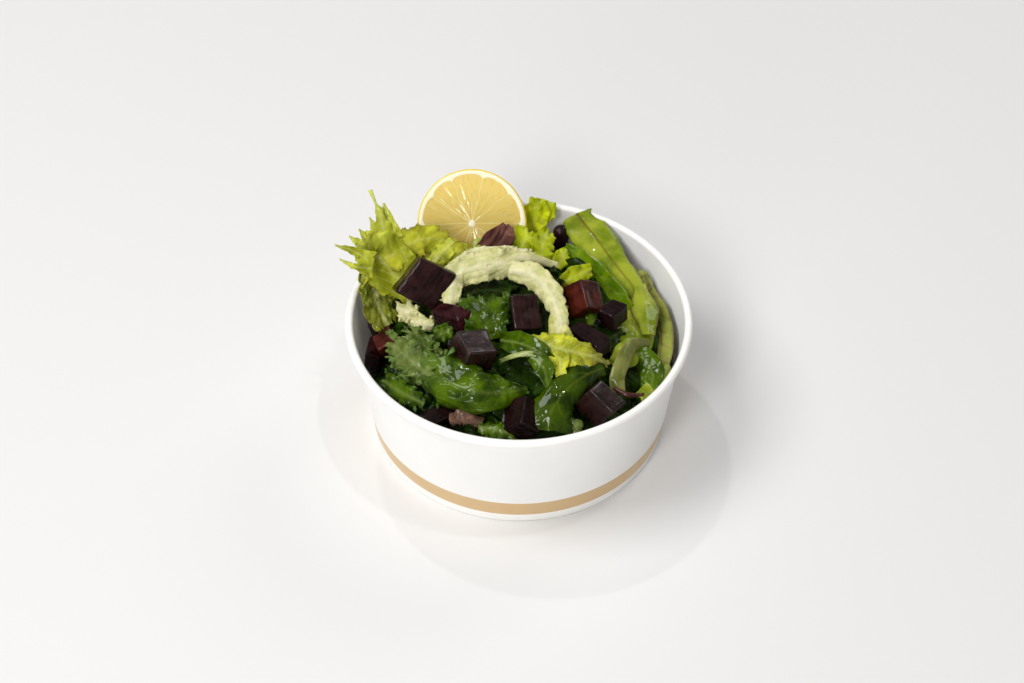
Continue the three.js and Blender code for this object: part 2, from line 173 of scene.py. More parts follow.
def make_piece(
    name: str,
    points: np.ndarray,
    triangles: np.ndarray,
    material: bpy.types.Material,
    uv: np.ndarray | None = None,
    attributes: dict[str, np.ndarray] | None = None,
) -> bpy.types.Object:
    """Makes a smooth mesh object whose place is in its vertices.

    Args:
        name: object's name.
        points: vertices in mm from the cup's axis.
        triangles: three vertex numbers for each triangle, anticlockwise from outside.
        material: finish of the whole piece.
        uv: two texture coordinates for each vertex.
        attributes: a number for each vertex, by name, that the finish reads.

    Returns:
        The object, linked to the scene.
    """
    mesh = bpy.data.meshes.new(name)
    mesh.from_pydata(to_frame(points).tolist(), [], triangles.tolist())
    for label, values in (attributes or {}).items():
        layer = mesh.attributes.new(label, "FLOAT", "POINT")
        layer.data.foreach_set("value", values.astype(np.float32))
    if uv is not None:
        corners = np.empty(len(mesh.loops), np.int32)
        mesh.loops.foreach_get("vertex_index", corners)
        mesh.uv_layers.new(name="UVMap").data.foreach_set("uv", uv[corners].astype(np.float32).ravel())
    mesh.shade_smooth()
    mesh.materials.append(material)
    piece = bpy.data.objects.new(name, mesh)
    bpy.context.scene.collection.objects.link(piece)
    return piece


def settle(piece: bpy.types.Object, slot: str, *nodes: str) -> None:
    """Makes a finished piece ride on the body and stand for its CAD nodes.

    Args:
        piece: finished mesh object.
        slot: the record's material slot; not used.
        nodes: CAD nodes that the piece replaces.
    """
    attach(piece, BODY)
    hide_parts(*nodes)
    LOG.info("%s: %d triangles, replaces %s", piece.name, len(piece.data.polygons), ", ".join(nodes))


def ring_triangles(rings: int, sides: int) -> np.ndarray:
    """Joins rings of vertices into a closed surface with a point at each end.

    Args:
        rings: number of rings, whose vertices come first.
        sides: vertices in each ring; the two end points follow after the last ring.

    Returns:
        The triangles.
    """
    first, last = rings * sides, rings * sides + 1
    k = np.arange(sides)
    n = (k + 1) % sides
    triangles = [np.stack([np.full(sides, first), n, k], axis=1)]
    for ring in range(rings - 1):
        a, b = ring * sides, (ring + 1) * sides
        triangles.append(np.stack([a + k, a + n, b + n], axis=1))
        triangles.append(np.stack([a + k, b + n, b + k], axis=1))
    top = (rings - 1) * sides
    triangles.append(np.stack([top + k, top + n, np.full(sides, last)], axis=1))
    return np.vstack(triangles)


def lathe(profile: np.ndarray, sides: int) -> tuple[np.ndarray, np.ndarray]:
    """Turns a profile that starts and ends on the axis into a closed surface.

    Args:
        profile: radius and height of each point, from the lowest middle point round the outside.
        sides: number of steps round the axis.

    Returns:
        The vertices and the triangles.
    """
    angles = np.arange(sides) * 2 * math.pi / sides
    rings = profile[1:-1]
    x = rings[:, :1] * np.cos(angles)
    y = rings[:, :1] * np.sin(angles)
    z = np.repeat(rings[:, 1:], sides, axis=1)
    points = np.stack([x, y, z], axis=-1).reshape(-1, 3)
    points = np.vstack([points, [0, 0, profile[0, 1]], [0, 0, profile[-1, 1]]])
    return points, ring_triangles(len(rings), sides)


# ----------------------------------------------------------------------------------- finishes
def new_finish(name: str) -> tuple[bpy.types.Material, Tree, Socket]:
    """Starts a material, and gives it with its tree and the place on the piece."""
    material = bpy.data.materials.new(name)
    material.use_nodes = True
    tree = material.node_tree
    return material, tree, add_node(tree, "ShaderNodeTexCoord").outputs["Object"]


def own_map(tree: Tree) -> Socket:
    """The piece's own texture coordinates."""
    return add_node(tree, "ShaderNodeUVMap", {"uv_map": "UVMap"}).outputs["UV"]


def read_masks(tree: Tree, *names: str) -> dict[str, Socket]:
    """The masks that the mesh holds, by name."""
    kind = "ShaderNodeAttribute"
    return {name: add_node(tree, kind, {"attribute_name": name}).outputs["Fac"] for name in names}


def noise(
    tree: Tree, place: Socket, size_mm: float, detail: float, distortion: float = 0.0
) -> Socket:
    """A cloudy pattern of the given size."""
    values = {"Scale": 1 / (size_mm * MM), "Detail": detail, "Distortion": distortion}
    return add_node(tree, "ShaderNodeTexNoise", values=values, links={"Vector": place}).outputs["Fac"]


def cells(tree: Tree, place: Socket, scale: float) -> Socket:
    """Distance to the nearest wall of a net of cells."""
    kind = {"feature": "DISTANCE_TO_EDGE"}
    net = add_node(tree, "ShaderNodeTexVoronoi", kind, {"Scale": scale}, {"Vector": place})
    return net.outputs["Distance"]


def remap(
    tree: Tree,
    value: Socket,
    start: float,
    end: float,
    low: float = 0.0,
    high: float = 1.0,
    smooth: bool = False,
) -> Socket:
    """Turns a value between start and end into one between low and high.

    Args:
        tree: node tree of the finish.
        value: socket that is turned.
        start: value that becomes low.
        end: value that becomes high.
        low: first value given.
        high: last value given.
        smooth: whether it eases in and out.

    Returns:
        The socket with the new value.
    """
    kind = {"interpolation_type": "SMOOTHSTEP" if smooth else "LINEAR"}
    values = {"From Min": start, "From Max": end, "To Min": low, "To Max": high}
    return add_node(tree, "ShaderNodeMapRange", kind, values, {"Value": value}).outputs["Result"]


def layered(
    tree: Tree, base: str, layers: list[tuple[Socket, str]]
) -> Socket:
    """Lays colours over a base colour, each as far as its mask shows it.

    Args:
        tree: node tree of the finish.
        base: hex colour under all others.
        layers: mask and hex colour of each layer, from the lowest.

    Returns:
        The socket with the colour.
    """
    colour = None
    for mask, hue in layers:
        mixed = add_node(
            tree, "ShaderNodeMix", {"data_type": "RGBA"}, {6: linear(base), 7: linear(hue)}, {0: mask}
        )
        if colour is not None:
            tree.links.new(colour, mixed.inputs[6])
        colour = mixed.outputs[2]
    return colour


def blend(
    tree: Tree, height: Socket, share: float, other: Socket
) -> Socket:
    """A share of one height pattern, added to another."""
    kind = {"operation": "MULTIPLY_ADD"}
    return add_node(tree, "ShaderNodeMath", kind, {1: share}, {0: height, 2: other}).outputs[0]


def bump(
    tree: Tree, height: Socket, strength: float, depth_mm: float
) -> Socket:
    """The surface direction that a height pattern gives."""
    values = {"Strength": strength, "Distance": depth_mm * MM}
    return add_node(tree, "ShaderNodeBump", values=values, links={"Height": height}).outputs["Normal"]


def dress(material: bpy.types.Material, constants: dict, links: dict) -> bpy.types.Material:
    """Sets the shader's constant values, links the others and gives the material back."""
    shader = material.node_tree.nodes["Principled BSDF"]
    for socket, value in constants.items():
        shader.inputs[socket].default_value = value
    for socket, source in links.items():
        material.node_tree.links.new(source, shader.inputs[socket])
    return material


@dataclass(frozen=True)
class LeafFinish:
    """Fresh leaf, wet with oil dressing: a thin waxy skin that light shines through."""

    name: str
    bright: str
    shade: str
    vein: str
    edge: str
    under: str
    # Painted shade: this colour is laid into the valleys of the crinkles, more where they lie deeper.
    crease: str = "#202404"
    crease_shade_share: float = 0.3
    far: str = "#808080"
    far_share: float = 0.0
    rib: str = "#808080"
    rib_share: float = 0.0
    edge_share: float = 0.5
    vein_share: float = 0.45
    under_share: float = 0.75
    net_share: float = 0.16
    spot: str = "#5a2f3c"
    spot_share: float = 0.0
    patch_mm: float = 9.0
    net_mm: float = 1.7
    spot_mm: float = 2.6
    grain_mm: float = 1.1
    glow: float = 0.25
    roughness: float = 0.38
    gloss: float = 0.05
    wet: float = 0.3
    bump_mm: float = 0.12

    def material(self) -> bpy.types.Material:
        """Builds the finish: patches, painted shade in the creases, side veins, vein net, margin, underside,
        spots and dressing.
        """
        material, tree, place = new_finish(self.name)
        shares = {
            "crease": self.crease_shade_share, "far": self.far_share, "under": self.under_share,
            "edge": self.edge_share, "vein": self.vein_share, "rib": self.rib_share,
        }
        kind = {"operation": "MULTIPLY", "use_clamp": True}
        scaled = {
            name: add_node(tree, "ShaderNodeMath", kind, {1: shares[name]}, {0: mask}).outputs[0]
            for name, mask in read_masks(tree, *shares).items()
        }
        patches = noise(tree, place, self.patch_mm, 4.0)
        # The net of the finest veins, drawn on the flattened leaf: one unit there is 10 mm.
        net = cells(tree, own_map(tree), 10 / self.net_mm)
        specks = noise(tree, place, self.spot_mm, 2.0)
        colour = layered(tree, self.shade, [
            (remap(tree, patches, 0.36, 0.64, smooth=True), self.bright),
            # Painted shade in the valleys of the crinkles.
            (scaled["crease"], self.crease),
            (scaled["far"], self.far),
            (scaled["under"], self.under),
            (remap(tree, net, 0.0, 0.14, self.net_share, 0.0, smooth=True), self.vein),
            (scaled["edge"], self.edge),
            (remap(tree, specks, 0.6, 0.72, 0.0, self.spot_share, smooth=True), self.spot),
            (scaled["vein"], self.vein),
            (scaled["rib"], self.rib),
        ])
        relief = blend(tree, net, 0.6, noise(tree, place, self.grain_mm, 3.0))
        constants = {
            "Subsurface Weight": self.glow, "Subsurface Radius": (0.8, 1.0, 0.2),
            "Subsurface Scale": 1.0 * MM, "Specular IOR Level": self.gloss, "Coat Weight": self.wet,
            "Coat Roughness": 0.06, "IOR": 1.42,
        }
        return dress(material, constants, {
            "Base Color": colour,
            "Roughness": remap(tree, patches, 0.3, 0.7, self.roughness - 0.12, self.roughness + 0.14),
            "Normal": bump(tree, relief, 0.55, self.bump_mm),
        })


@dataclass(frozen=True)
class BeetFinish:
    """Cooked beetroot with cut faces: nearly black purple, moist, redder where light gets in."""

    name: str
    dark: str
    bright: str
    ring: str = "#5d2130"
    moist: float = 0.15
    cloud_mm: float = 6.0
    pit_mm: float = 0.8
    bump_mm: float = 0.22

    def material(self) -> bpy.types.Material:
        """Builds the finish: cloudy flesh, faint growth rings, knife marks and a moist skin."""
        material, tree, place = new_finish(self.name)
        flat = own_map(tree)
        cloud = noise(tree, place, self.cloud_mm, 5.0, 0.4)
        # Growth rings 2.5 mm apart on the flattened faces, whose unit is 10 mm.
        rings = add_node(
            tree, "ShaderNodeTexWave", {"wave_type": "RINGS"},
            {"Scale": 1.3, "Distortion": 5.0, "Detail": 3.0}, {"Vector": flat},
        ).outputs["Fac"]
        colour = layered(tree, self.dark, [
            (remap(tree, cloud, 0.35, 0.7, smooth=True), self.bright),
            (remap(tree, rings, 0.5, 1.0, 0.0, 0.25), self.ring),
        ])
        # Knife marks: fine grooves 0.7 mm apart, drawn along one direction of each face.
        strokes = add_node(
            tree, "ShaderNodeMapping", values={"Scale": (2.0, 7.0, 1.0)}, links={"Vector": flat}
        ).outputs[0]
        grooves = add_node(
            tree, "ShaderNodeTexNoise", values={"Scale": 1.0, "Detail": 4.0}, links={"Vector": strokes}
        ).outputs["Fac"]
        relief = blend(tree, grooves, 0.8, noise(tree, place, self.pit_mm, 3.0))
        constants = {
            "Subsurface Weight": 0.15, "Subsurface Radius": (1.0, 0.15, 0.1), "Subsurface Scale": 1.5 * MM,
            "Specular IOR Level": self.moist, "Coat Weight": 0.25, "Coat Roughness": 0.12, "IOR": 1.4,
        }
        return dress(material, constants, {
            "Base Color": colour,
            "Roughness": remap(tree, cloud, 0.35, 0.65, 0.22, 0.4),
            "Normal": bump(tree, relief, 0.5, self.bump_mm),
        })


@dataclass(frozen=True)
class LemonFinish:
    """Cut lemon: juicy translucent pulp, pale membranes, spongy white pith and waxy yellow rind."""

    name: str = "lemon_cut"
    pulp: str = "#dfc35a"
    pulp_light: str = "#ecd98c"
    # Painted shade: the colour the pulp takes towards the bottom of the slice.
    low: str = "#ab9030"
    membrane: str = "#efe2a4"
    pith: str = "#f8f0d8"
    rind: str = "#e8c828"
    shade_from: float = 78.0
    shade_to: float = 52.0
    pore_mm: float = 0.9
    bump_mm: float = 0.12

    def material(self) -> bpy.types.Material:
        """Builds the finish from the slice's masks, with juice sacs that run outwards and painted shade
        towards the bottom.
        """
        material, tree, place = new_finish(self.name)
        masks = read_masks(tree, "membrane", "pith", "rind")
        # Juice sacs about 1.1 mm wide and 5 mm long: the map's unit is one sac each way.
        inside = remap(tree, cells(tree, own_map(tree), 1.0), 0.0, 0.4, 0.35, 0.7, smooth=True)
        # Painted shade: the pulp darkens towards the bottom, which stands before the leaves, so that less
        # light comes through it.
        height = add_node(tree, "ShaderNodeSeparateXYZ", links={0: place}).outputs["Z"]
        low = remap(tree, height, self.shade_from * MM, self.shade_to * MM, 0.0, 0.8, smooth=True)
        colour = layered(tree, self.pulp_light, [
            (inside, self.pulp), (low, self.low), (masks["membrane"], self.membrane),
            (masks["pith"], self.pith), (masks["rind"], self.rind),
        ])
        relief = blend(tree, noise(tree, place, self.pore_mm, 2.0), 0.5, inside)
        constants = {
            "Subsurface Weight": 0.8, "Subsurface Radius": (1.0, 0.8, 0.3), "Subsurface Scale": 4 * MM,
            "Coat Weight": 0.3, "Coat Roughness": 0.1, "IOR": 1.38,
        }
        return dress(material, constants, {
            "Base Color": colour,
            "Roughness": remap(tree, masks["pith"], 0.0, 1.0, 0.16, 0.55),
            "Normal": bump(tree, relief, 0.4, self.bump_mm),
        })


@dataclass(frozen=True)
class PaperFinish:
    """Coated cup board: smooth satin white with a band of gold printing ink near the foot."""

    name: str = "coated_cup_board"
    white: str = "#f6f4f0"
    mottled: str = "#efece6"
    gold: str = "#dabb8c"
    band_low: float = 5.1
    band_high: float = 13.5
    blur: float = 0.075  # half the width of the ink's edge
    mottle_mm: float = 14.0
    fibre_mm: float = 0.6  # a little coarser than real fibres, so that they show
    bump_mm: float = 0.1

    def material(self) -> bpy.types.Material:
        """Builds the finish: paper fibres, a soft mottle and the gold band by height."""
        material, tree, place = new_finish(self.name)
        height = add_node(tree, "ShaderNodeSeparateXYZ", links={0: place}).outputs["Z"]
        ink = read_masks(tree, "printed")["printed"]
        for edge, blur in ((self.band_low, self.blur), (self.band_high, -self.blur)):
            step = remap(tree, height, (edge - blur) * MM, (edge + blur) * MM)
            both = {0: ink, 1: step}
            ink = add_node(tree, "ShaderNodeMath", {"operation": "MULTIPLY"}, links=both).outputs[0]
        tone = remap(tree, noise(tree, place, self.mottle_mm, 3.0), 0.3, 0.7, 0.0, 0.25)
        # Light that falls on one side of the thin board brightens the other a little.
        constants = {
            "Subsurface Weight": 0.4, "Subsurface Radius": (1.0, 0.95, 0.85), "Subsurface Scale": 2 * MM,
            "Coat Weight": 0.15, "Coat Roughness": 0.3, "IOR": 1.5,
        }
        return dress(material, constants, {
            "Base Color": layered(tree, self.white, [(tone, self.mottled), (ink, self.gold)]),
            "Roughness": remap(tree, ink, 0.0, 1.0, 0.5, 0.38),
            "Metallic": remap(tree, ink, 0.0, 1.0, 0.0, 0.55),
            "Normal": bump(tree, noise(tree, place, self.fibre_mm, 3.0), 0.12, self.bump_mm),
        })


LETTUCE_YELLOW = LeafFinish(
    "lettuce_pale_frilly", bright="#c0c43c", shade="#888e0e", vein="#c8cc68", edge="#a2a626", under="#a8ac3a",
    far="#d8dc68", far_share=0.35, rib="#dadc94", rib_share=0.35, glow=0.3, wet=0.2, net_share=0.08,
    crease="#5c6404",
)
LETTUCE_OLIVE = LeafFinish(
    "lettuce_olive", bright="#c2c232", shade="#84840a", vein="#c4c45c", edge="#7c6c14", under="#9c9e28",
    far="#8f7a20", far_share=0.35, rib="#c8c86c", rib_share=0.5, glow=0.3, wet=0.2,
)
LETTUCE_HANGING = LeafFinish(
    "lettuce_glossy", bright="#9ca438", shade="#545806", vein="#b4b870", edge="#7c8010", under="#787c24",
    far="#7c8006", far_share=0.7, rib="#c8cc88", rib_share=0.7, glow=0.2, wet=0.6, net_share=0.08,
)
LETTUCE_BRIGHT = LeafFinish(
    "lettuce_bright", bright="#b8c414", shade="#889404", vein="#ccd058", edge="#a8b014", under="#b4bc34",
    rib="#ccd074", rib_share=0.4, glow=0.35, wet=0.2, net_share=0.08, crease="#5c6c00",
)
RED_LEAF = LeafFinish(
    "red_leaf", bright="#7a4c42", shade="#52302a", vein="#6c4c44", edge="#4a2a2c", under="#8a5840",
    rib="#8c6c5c", rib_share=0.3, crease="#240e0c", crease_shade_share=0.4, net_share=0.05, glow=0.1, wet=0.2,
)
PINK_LEAF = LeafFinish(
    "red_leaf_pale", bright="#806050", shade="#4e3628", vein="#a88470", edge="#5c342a", under="#6c4a3c",
    glow=0.15, wet=0.4,
)
NAPA = LeafFinish(
    "napa_cabbage", bright="#d6d09c", shade="#babc7a", vein="#e0dab4", edge="#c8c07c", under="#d2c890",
    spot="#98804c", spot_share=0.25, rib="#ece6c8", rib_share=0.5, edge_share=0.35, net_share=0.1, glow=0.25,
    crease="#8c8a40", crease_shade_share=0.5, roughness=0.42, wet=0.1, patch_mm=4.0, bump_mm=0.3,
)
# Painted light: a brighter copy of the lettuce finish for the pieces that stand at the back rim.
LETTUCE_PAINTED_LIGHT = replace(LETTUCE_BRIGHT, name="lettuce_sunny", bright="#e4ec24", shade="#a0ac04", glow=0.4)
YELLOW_LEAF = LeafFinish(
    "cabbage_yellow", bright="#c4c62e", shade="#868c12", vein="#d2d274", edge="#8c9020", under="#acb030",
    far="#4c3424", far_share=0.75, rib="#ccd080", rib_share=0.5, glow=0.25, patch_mm=7.0, wet=0.2,
)
KALE = LeafFinish(
    "curly_kale", bright="#4a6400", shade="#223800", vein="#607a0c", edge="#2e4a00", under="#5a7834",
    crease="#0c1800", crease_shade_share=0.6, rib="#88984c", rib_share=0.5, edge_share=0.5, net_share=0.06,
    glow=0.08,
    wet=0.4, roughness=0.36, bump_mm=0.09,
)
KALE_PLAIN = replace(KALE, name="curly_kale_plain", rib_share=0.15)
KALE_WAXY = replace(
    KALE, name="curly_kale_waxy_tip", far="#6c8044", far_share=0.7, vein_share=0.3, rib_share=0.2
)
KALE_PALE = LeafFinish(
    "curly_kale_pale", bright="#707e3c", shade="#445418", vein="#84965a", edge="#486420", under="#6c8048",
    rib="#9ca870", rib_share=0.25, crease="#203408", crease_shade_share=0.6, glow=0.12, wet=0.35, net_share=0.1,
)
# Painted shade: a darkened copy of the kale finish for the core, the scraps and the leaves that fill the dark
# gaps between the others.
KALE_PAINTED_SHADE = LeafFinish(
    "curly_kale_dark", bright="#162a00", shade="#071000", vein="#3c5410", edge="#142800", under="#2c4818",
    rib="#486030", rib_share=0.4, crease="#040800", crease_shade_share=0.6, glow=0.05, wet=0.12,
)
KALE_SCRAPS_PAINTED_SHADE = replace(KALE_PAINTED_SHADE, name="curly_kale_scraps", bright="#264404", shade="#0a1400")
NAPA_BASE = replace(
    NAPA, name="napa_cabbage_base", bright="#d8d486", shade="#a8a848", under="#c4c478",
    spot_share=0.0, net_share=0.15,
)
FOLD_PALE = LeafFinish(
    "leaf_fold_pale", bright="#98a25c", shade="#4a5e1e", vein="#b4b878", edge="#a8ac70", under="#74843c",
    glow=0.15, wet=0.5,
)
LEAF_GREEN = LeafFinish(
    "leaf_green_glossy", bright="#384e00", shade="#182a00", vein="#566c08", edge="#344c02", under="#4c6408",
    rib="#667420", rib_share=0.4, crease="#142800", crease_shade_share=0.5, net_share=0.06, glow=0.12, wet=0.4,
    roughness=0.34, bump_mm=0.09,
)
CHARD = LeafFinish(
    "chard", bright="#9aa42c", shade="#6c800c", vein="#a0a450", edge="#708414", under="#748408",
    rib="#5c2818", rib_share=0.85, vein_share=0.3, crease="#3c5004", crease_shade_share=0.4, net_share=0.08,
    glow=0.2,
    wet=0.45, roughness=0.32, patch_mm=12.0, bump_mm=0.08,
)
CHARD_PLAIN = replace(CHARD, name="chard_plain", rib="#a0a450", rib_share=0.4)
CHARD_SPOTTED = replace(
    CHARD, name="chard_spotted", bright="#a0a450", shade="#84903c", spot="#5e3a34", spot_share=0.2,
    vein="#70402c",
    vein_share=0.6, edge="#4e2a28", edge_share=0.6,
)
CHARD_EDGED = replace(CHARD_PLAIN, name="chard_red_edge", edge="#54302a", edge_share=0.9)
CHARD_UNDER = replace(
    CHARD_PLAIN, name="chard_underside", bright="#789404", shade="#486a00", under="#7c8c08", rib_share=0.1,
)
RIBBON = LeafFinish(
    "leaf_stalk_pale", bright="#7e8040", shade="#5c6224", vein="#98986c", edge="#94965c", under="#6c7438",
    rib="#6c7438", rib_share=0.5, glow=0.15, wet=0.3,
)
STALK_RED = LeafFinish(
    "chard_stalk_red", bright="#54302a", shade="#301614", vein="#6c4438", edge="#3c1c1a", under="#54302a",
    glow=0.08,
)
STALK_PALE = LeafFinish(
    "lettuce_stalk", bright="#b8c064", shade="#8c9834", vein="#ccd090", edge="#9cac4c", under="#b8c064",
    glow=0.25,
)
BEET_DARK = BeetFinish("cooked_beet_dark", "#180a09", "#2e1715", ring="#3a2122")
BEET_MOIST = replace(BEET_DARK, name="cooked_beet_moist", moist=0.5)
BEET_RED = BeetFinish("cooked_beet_red", "#260805", "#501a0e", ring="#5c2014")
BEET_WINE = BeetFinish("cooked_beet_wine", "#1c0709", "#3a1218", ring="#481a20")
BEET_INK = BeetFinish("cooked_beet_ink", "#120607", "#221012", ring="#2c1718", moist=0.1)
# Painted shade: a still darker copy of the beet finish for the front-left piece, which lies under the kale's
# edge.
BEET_PAINTED_SHADE = BeetFinish("cooked_beet_black", "#0e0605", "#1c0c0a", ring="#2a1210")


# ------------------------------------------------------------------------------------- leaves
class Margin(Enum):
    """How the outline of a leaf runs."""

    SMOOTH = "smooth"
    POINTED = "pointed"
    LOBED = "lobed"


@dataclass(frozen=True)
class Relief:
    """What a kind of leaf has on its surface and along its margin, in mm."""

    thickness: float = 0.45
    frill: float = 0.5  # height of the small waves at the margin
    frill_length: float = 6.0
    frill_start: float = 0.45  # share of the half width where they begin
    margin: Margin = Margin.SMOOTH
    teeth: float = 0.0  # how deep the margin is cut, as a share of the half width
    tooth_length: float = 6.0
    tip_cut: float = 0.04  # how uneven the tip is, as a share of the length
    plain_to: float = -0.2  # share of the length up to which the margin stays plain
    roll: float = 0.0  # how far the margin turns under
    crinkle: float = 0.35
    crinkle_size: float = 5.0
    stretch: float = 1.0  # how much longer than wide the crinkles are
    ridged: float = 0.0  # share of sharp ridges among the crinkles, or of sharp creases when negative
    quilt: float = 0.25  # how far the blade bulges between the side veins
    vein_gap: float = 7.0
    vein_slant: float = 0.9
    vein_width: float = 0.35
    rib_width: float = 0.8
    rib_height: float = 0.5
    cell: float = 0.5


SOFT = Relief(crinkle=0.55, quilt=0.3, frill=0.6, ridged=-0.3)
FRISEE = Relief(
    frill=1.1, frill_length=6.5, margin=Margin.POINTED, teeth=0.5, tooth_length=8.5, tip_cut=0.25,
    crinkle=0.5, crinkle_size=5.0, ridged=-0.4, quilt=0.3, vein_gap=6.0, vein_slant=1.6, rib_width=1.0,
)
CURLY = Relief(
    frill=1.5, frill_length=5.0, frill_start=0.55, margin=Margin.LOBED, teeth=0.24, tooth_length=4.5,
    tip_cut=0.14, crinkle=0.6, crinkle_size=5.0, ridged=-0.6, quilt=0.2, vein_gap=9.0, rib_width=0.9,
    rib_height=0.7, cell=0.45,
)
WRINKLED = Relief(
    thickness=0.6, frill=0.7, frill_length=6.0, margin=Margin.LOBED, teeth=0.12, tooth_length=6.0,
    crinkle=0.75, crinkle_size=3.2, stretch=2.6, ridged=0.6, quilt=0.1, vein_gap=9.0, rib_width=1.4,
    rib_height=0.6, cell=0.42,
)
CRUMPLED = Relief(
    thickness=0.9, frill=1.1, frill_length=6.0, frill_start=0.1, margin=Margin.LOBED, teeth=0.25,
    tooth_length=4.5,
    tip_cut=0.1, crinkle=0.8, crinkle_size=4.0, ridged=-0.7, quilt=0.1, vein_gap=5.0, cell=0.42,
)
POINT = Relief(
    frill=0.3, frill_length=4.0, crinkle=0.3, crinkle_size=3.0, rib_width=0.4, rib_height=0.2, tip_cut=0.0
)
BROAD = Relief(
    frill=0.3, frill_length=14.0, crinkle=0.4, crinkle_size=9.0, quilt=0.2, vein_gap=9.5, vein_slant=1.1,
    rib_width=0.5, rib_height=0.6,
)
STALK = Relief(
    thickness=1.2, frill=0.1, crinkle=0.25, crinkle_size=2.5, stretch=6.0, quilt=0.0, vein_gap=40.0,
    rib_width=1.0, rib_height=0.4,
)


FRONT: Point = (0, -0.7, 0.7)
UP: Point = (0, -0.2, 1)
LEFT: Point = (-0.5, -0.6, 0.6)
RIGHT: Point = (0.5, -0.5, 0.7)
STEEP: Point = (0, -0.95, 0.3)
BACK: Point = (0, 0.5, 0.85)


@dataclass(frozen=True)
class Leaf:
    """A leaf or a torn piece of one along a spine, in mm from the cup's axis.

    half holds half widths from base to tip, face and face_end the way the upper side looks, curl the
    angle by which the left and right edge have turned up, fold the angle of the leaf's V, ruffle and
    waves the large waves of its margin.
    """

    name: str
    finish: LeafFinish
    relief: Relief
    spine: tuple[Point, ...]
    half: tuple[float, ...]
    face: Point = FRONT
    face_end: Point | None = None
    curl: tuple[float, float] = (0.0, 0.0)
    fold: float = 0.0
    ruffle: float = 0.0
    waves: float = 0.0
    seed: int = 0


def catmull_rom(points: np.ndarray, t: np.ndarray) -> np.ndarray:
    """A centripetal Catmull-Rom curve through the points.

    Args:
        points: array of shape (n, 3).
        t: shares of the way along, from 0 to 1, every span counting alike.

    Returns:
        One point for each share.
    """
    ends = np.vstack([2 * points[0] - points[1], points, 2 * points[-1] - points[-2]])
    spans = len(points) - 1
    at = np.clip(t, 0, 1) * spans
    i = np.minimum(at.astype(int), spans - 1)
    w = (at - i)[:, None]
    p0, p1, p2, p3 = (ends[i + k] for k in range(4))
    d0, d1, d2 = (np.sqrt(np.linalg.norm(b - a, axis=1))[:, None] for a, b in ((p0, p1), (p1, p2), (p2, p3)))
    start = ((p1 - p0) / d0 - (p2 - p0) / (d0 + d1) + (p2 - p1) / d1) * d1
    end = ((p2 - p1) / d1 - (p3 - p1) / (d1 + d2) + (p3 - p2) / d2) * d1
    square = 3 * (p2 - p1) - 2 * start - end
    cube = 2 * (p1 - p2) + start + end
    return p1 + w * (start + w * (square + w * cube))


def along(values: np.ndarray, t: np.ndarray) -> np.ndarray:
    """A number that changes smoothly along a list of values, for shares t from 0 to 1."""
    at = t * (len(values) - 1)
    i = np.clip(at.astype(int), 0, len(values) - 2)
    ease = at - i
    share = ease * ease * (3 - 2 * ease)
    return values[i] + (values[i + 1] - values[i]) * share


def press_inside(points: np.ndarray, gap: float = 0.5, soft: float = 4.0) -> np.ndarray:
    """Presses what lies below the cup's rim inwards, so that it stays inside the wall.

    Args:
        points: points in mm from the cup's axis.
        gap: least distance from the wall in mm.
        soft: distance from the wall over which leaves give way, in mm.

    Returns:
        The pressed points.
    """
    cup = PaperCup()
    radius = np.hypot(points[:, 0], points[:, 1])
    limit = np.minimum(cup.inner(points[:, 2]), cup.roll_middle[0] - cup.roll_radius) - gap
    pressed = limit - soft * np.exp(np.minimum(limit - soft - radius, 0) / soft)
    crosses = (points[:, 2] < cup.height + gap) & (radius > limit - soft)
    share = np.where(crosses, pressed / np.maximum(radius, 1.0), 1.0)
    return points * np.stack([share, share, np.ones_like(share)], axis=1)


def unit(vectors: np.ndarray) -> np.ndarray:
    """The same directions, each of length 1."""
    return vectors / np.maximum(np.linalg.norm(vectors, axis=-1, keepdims=True), 1e-9)


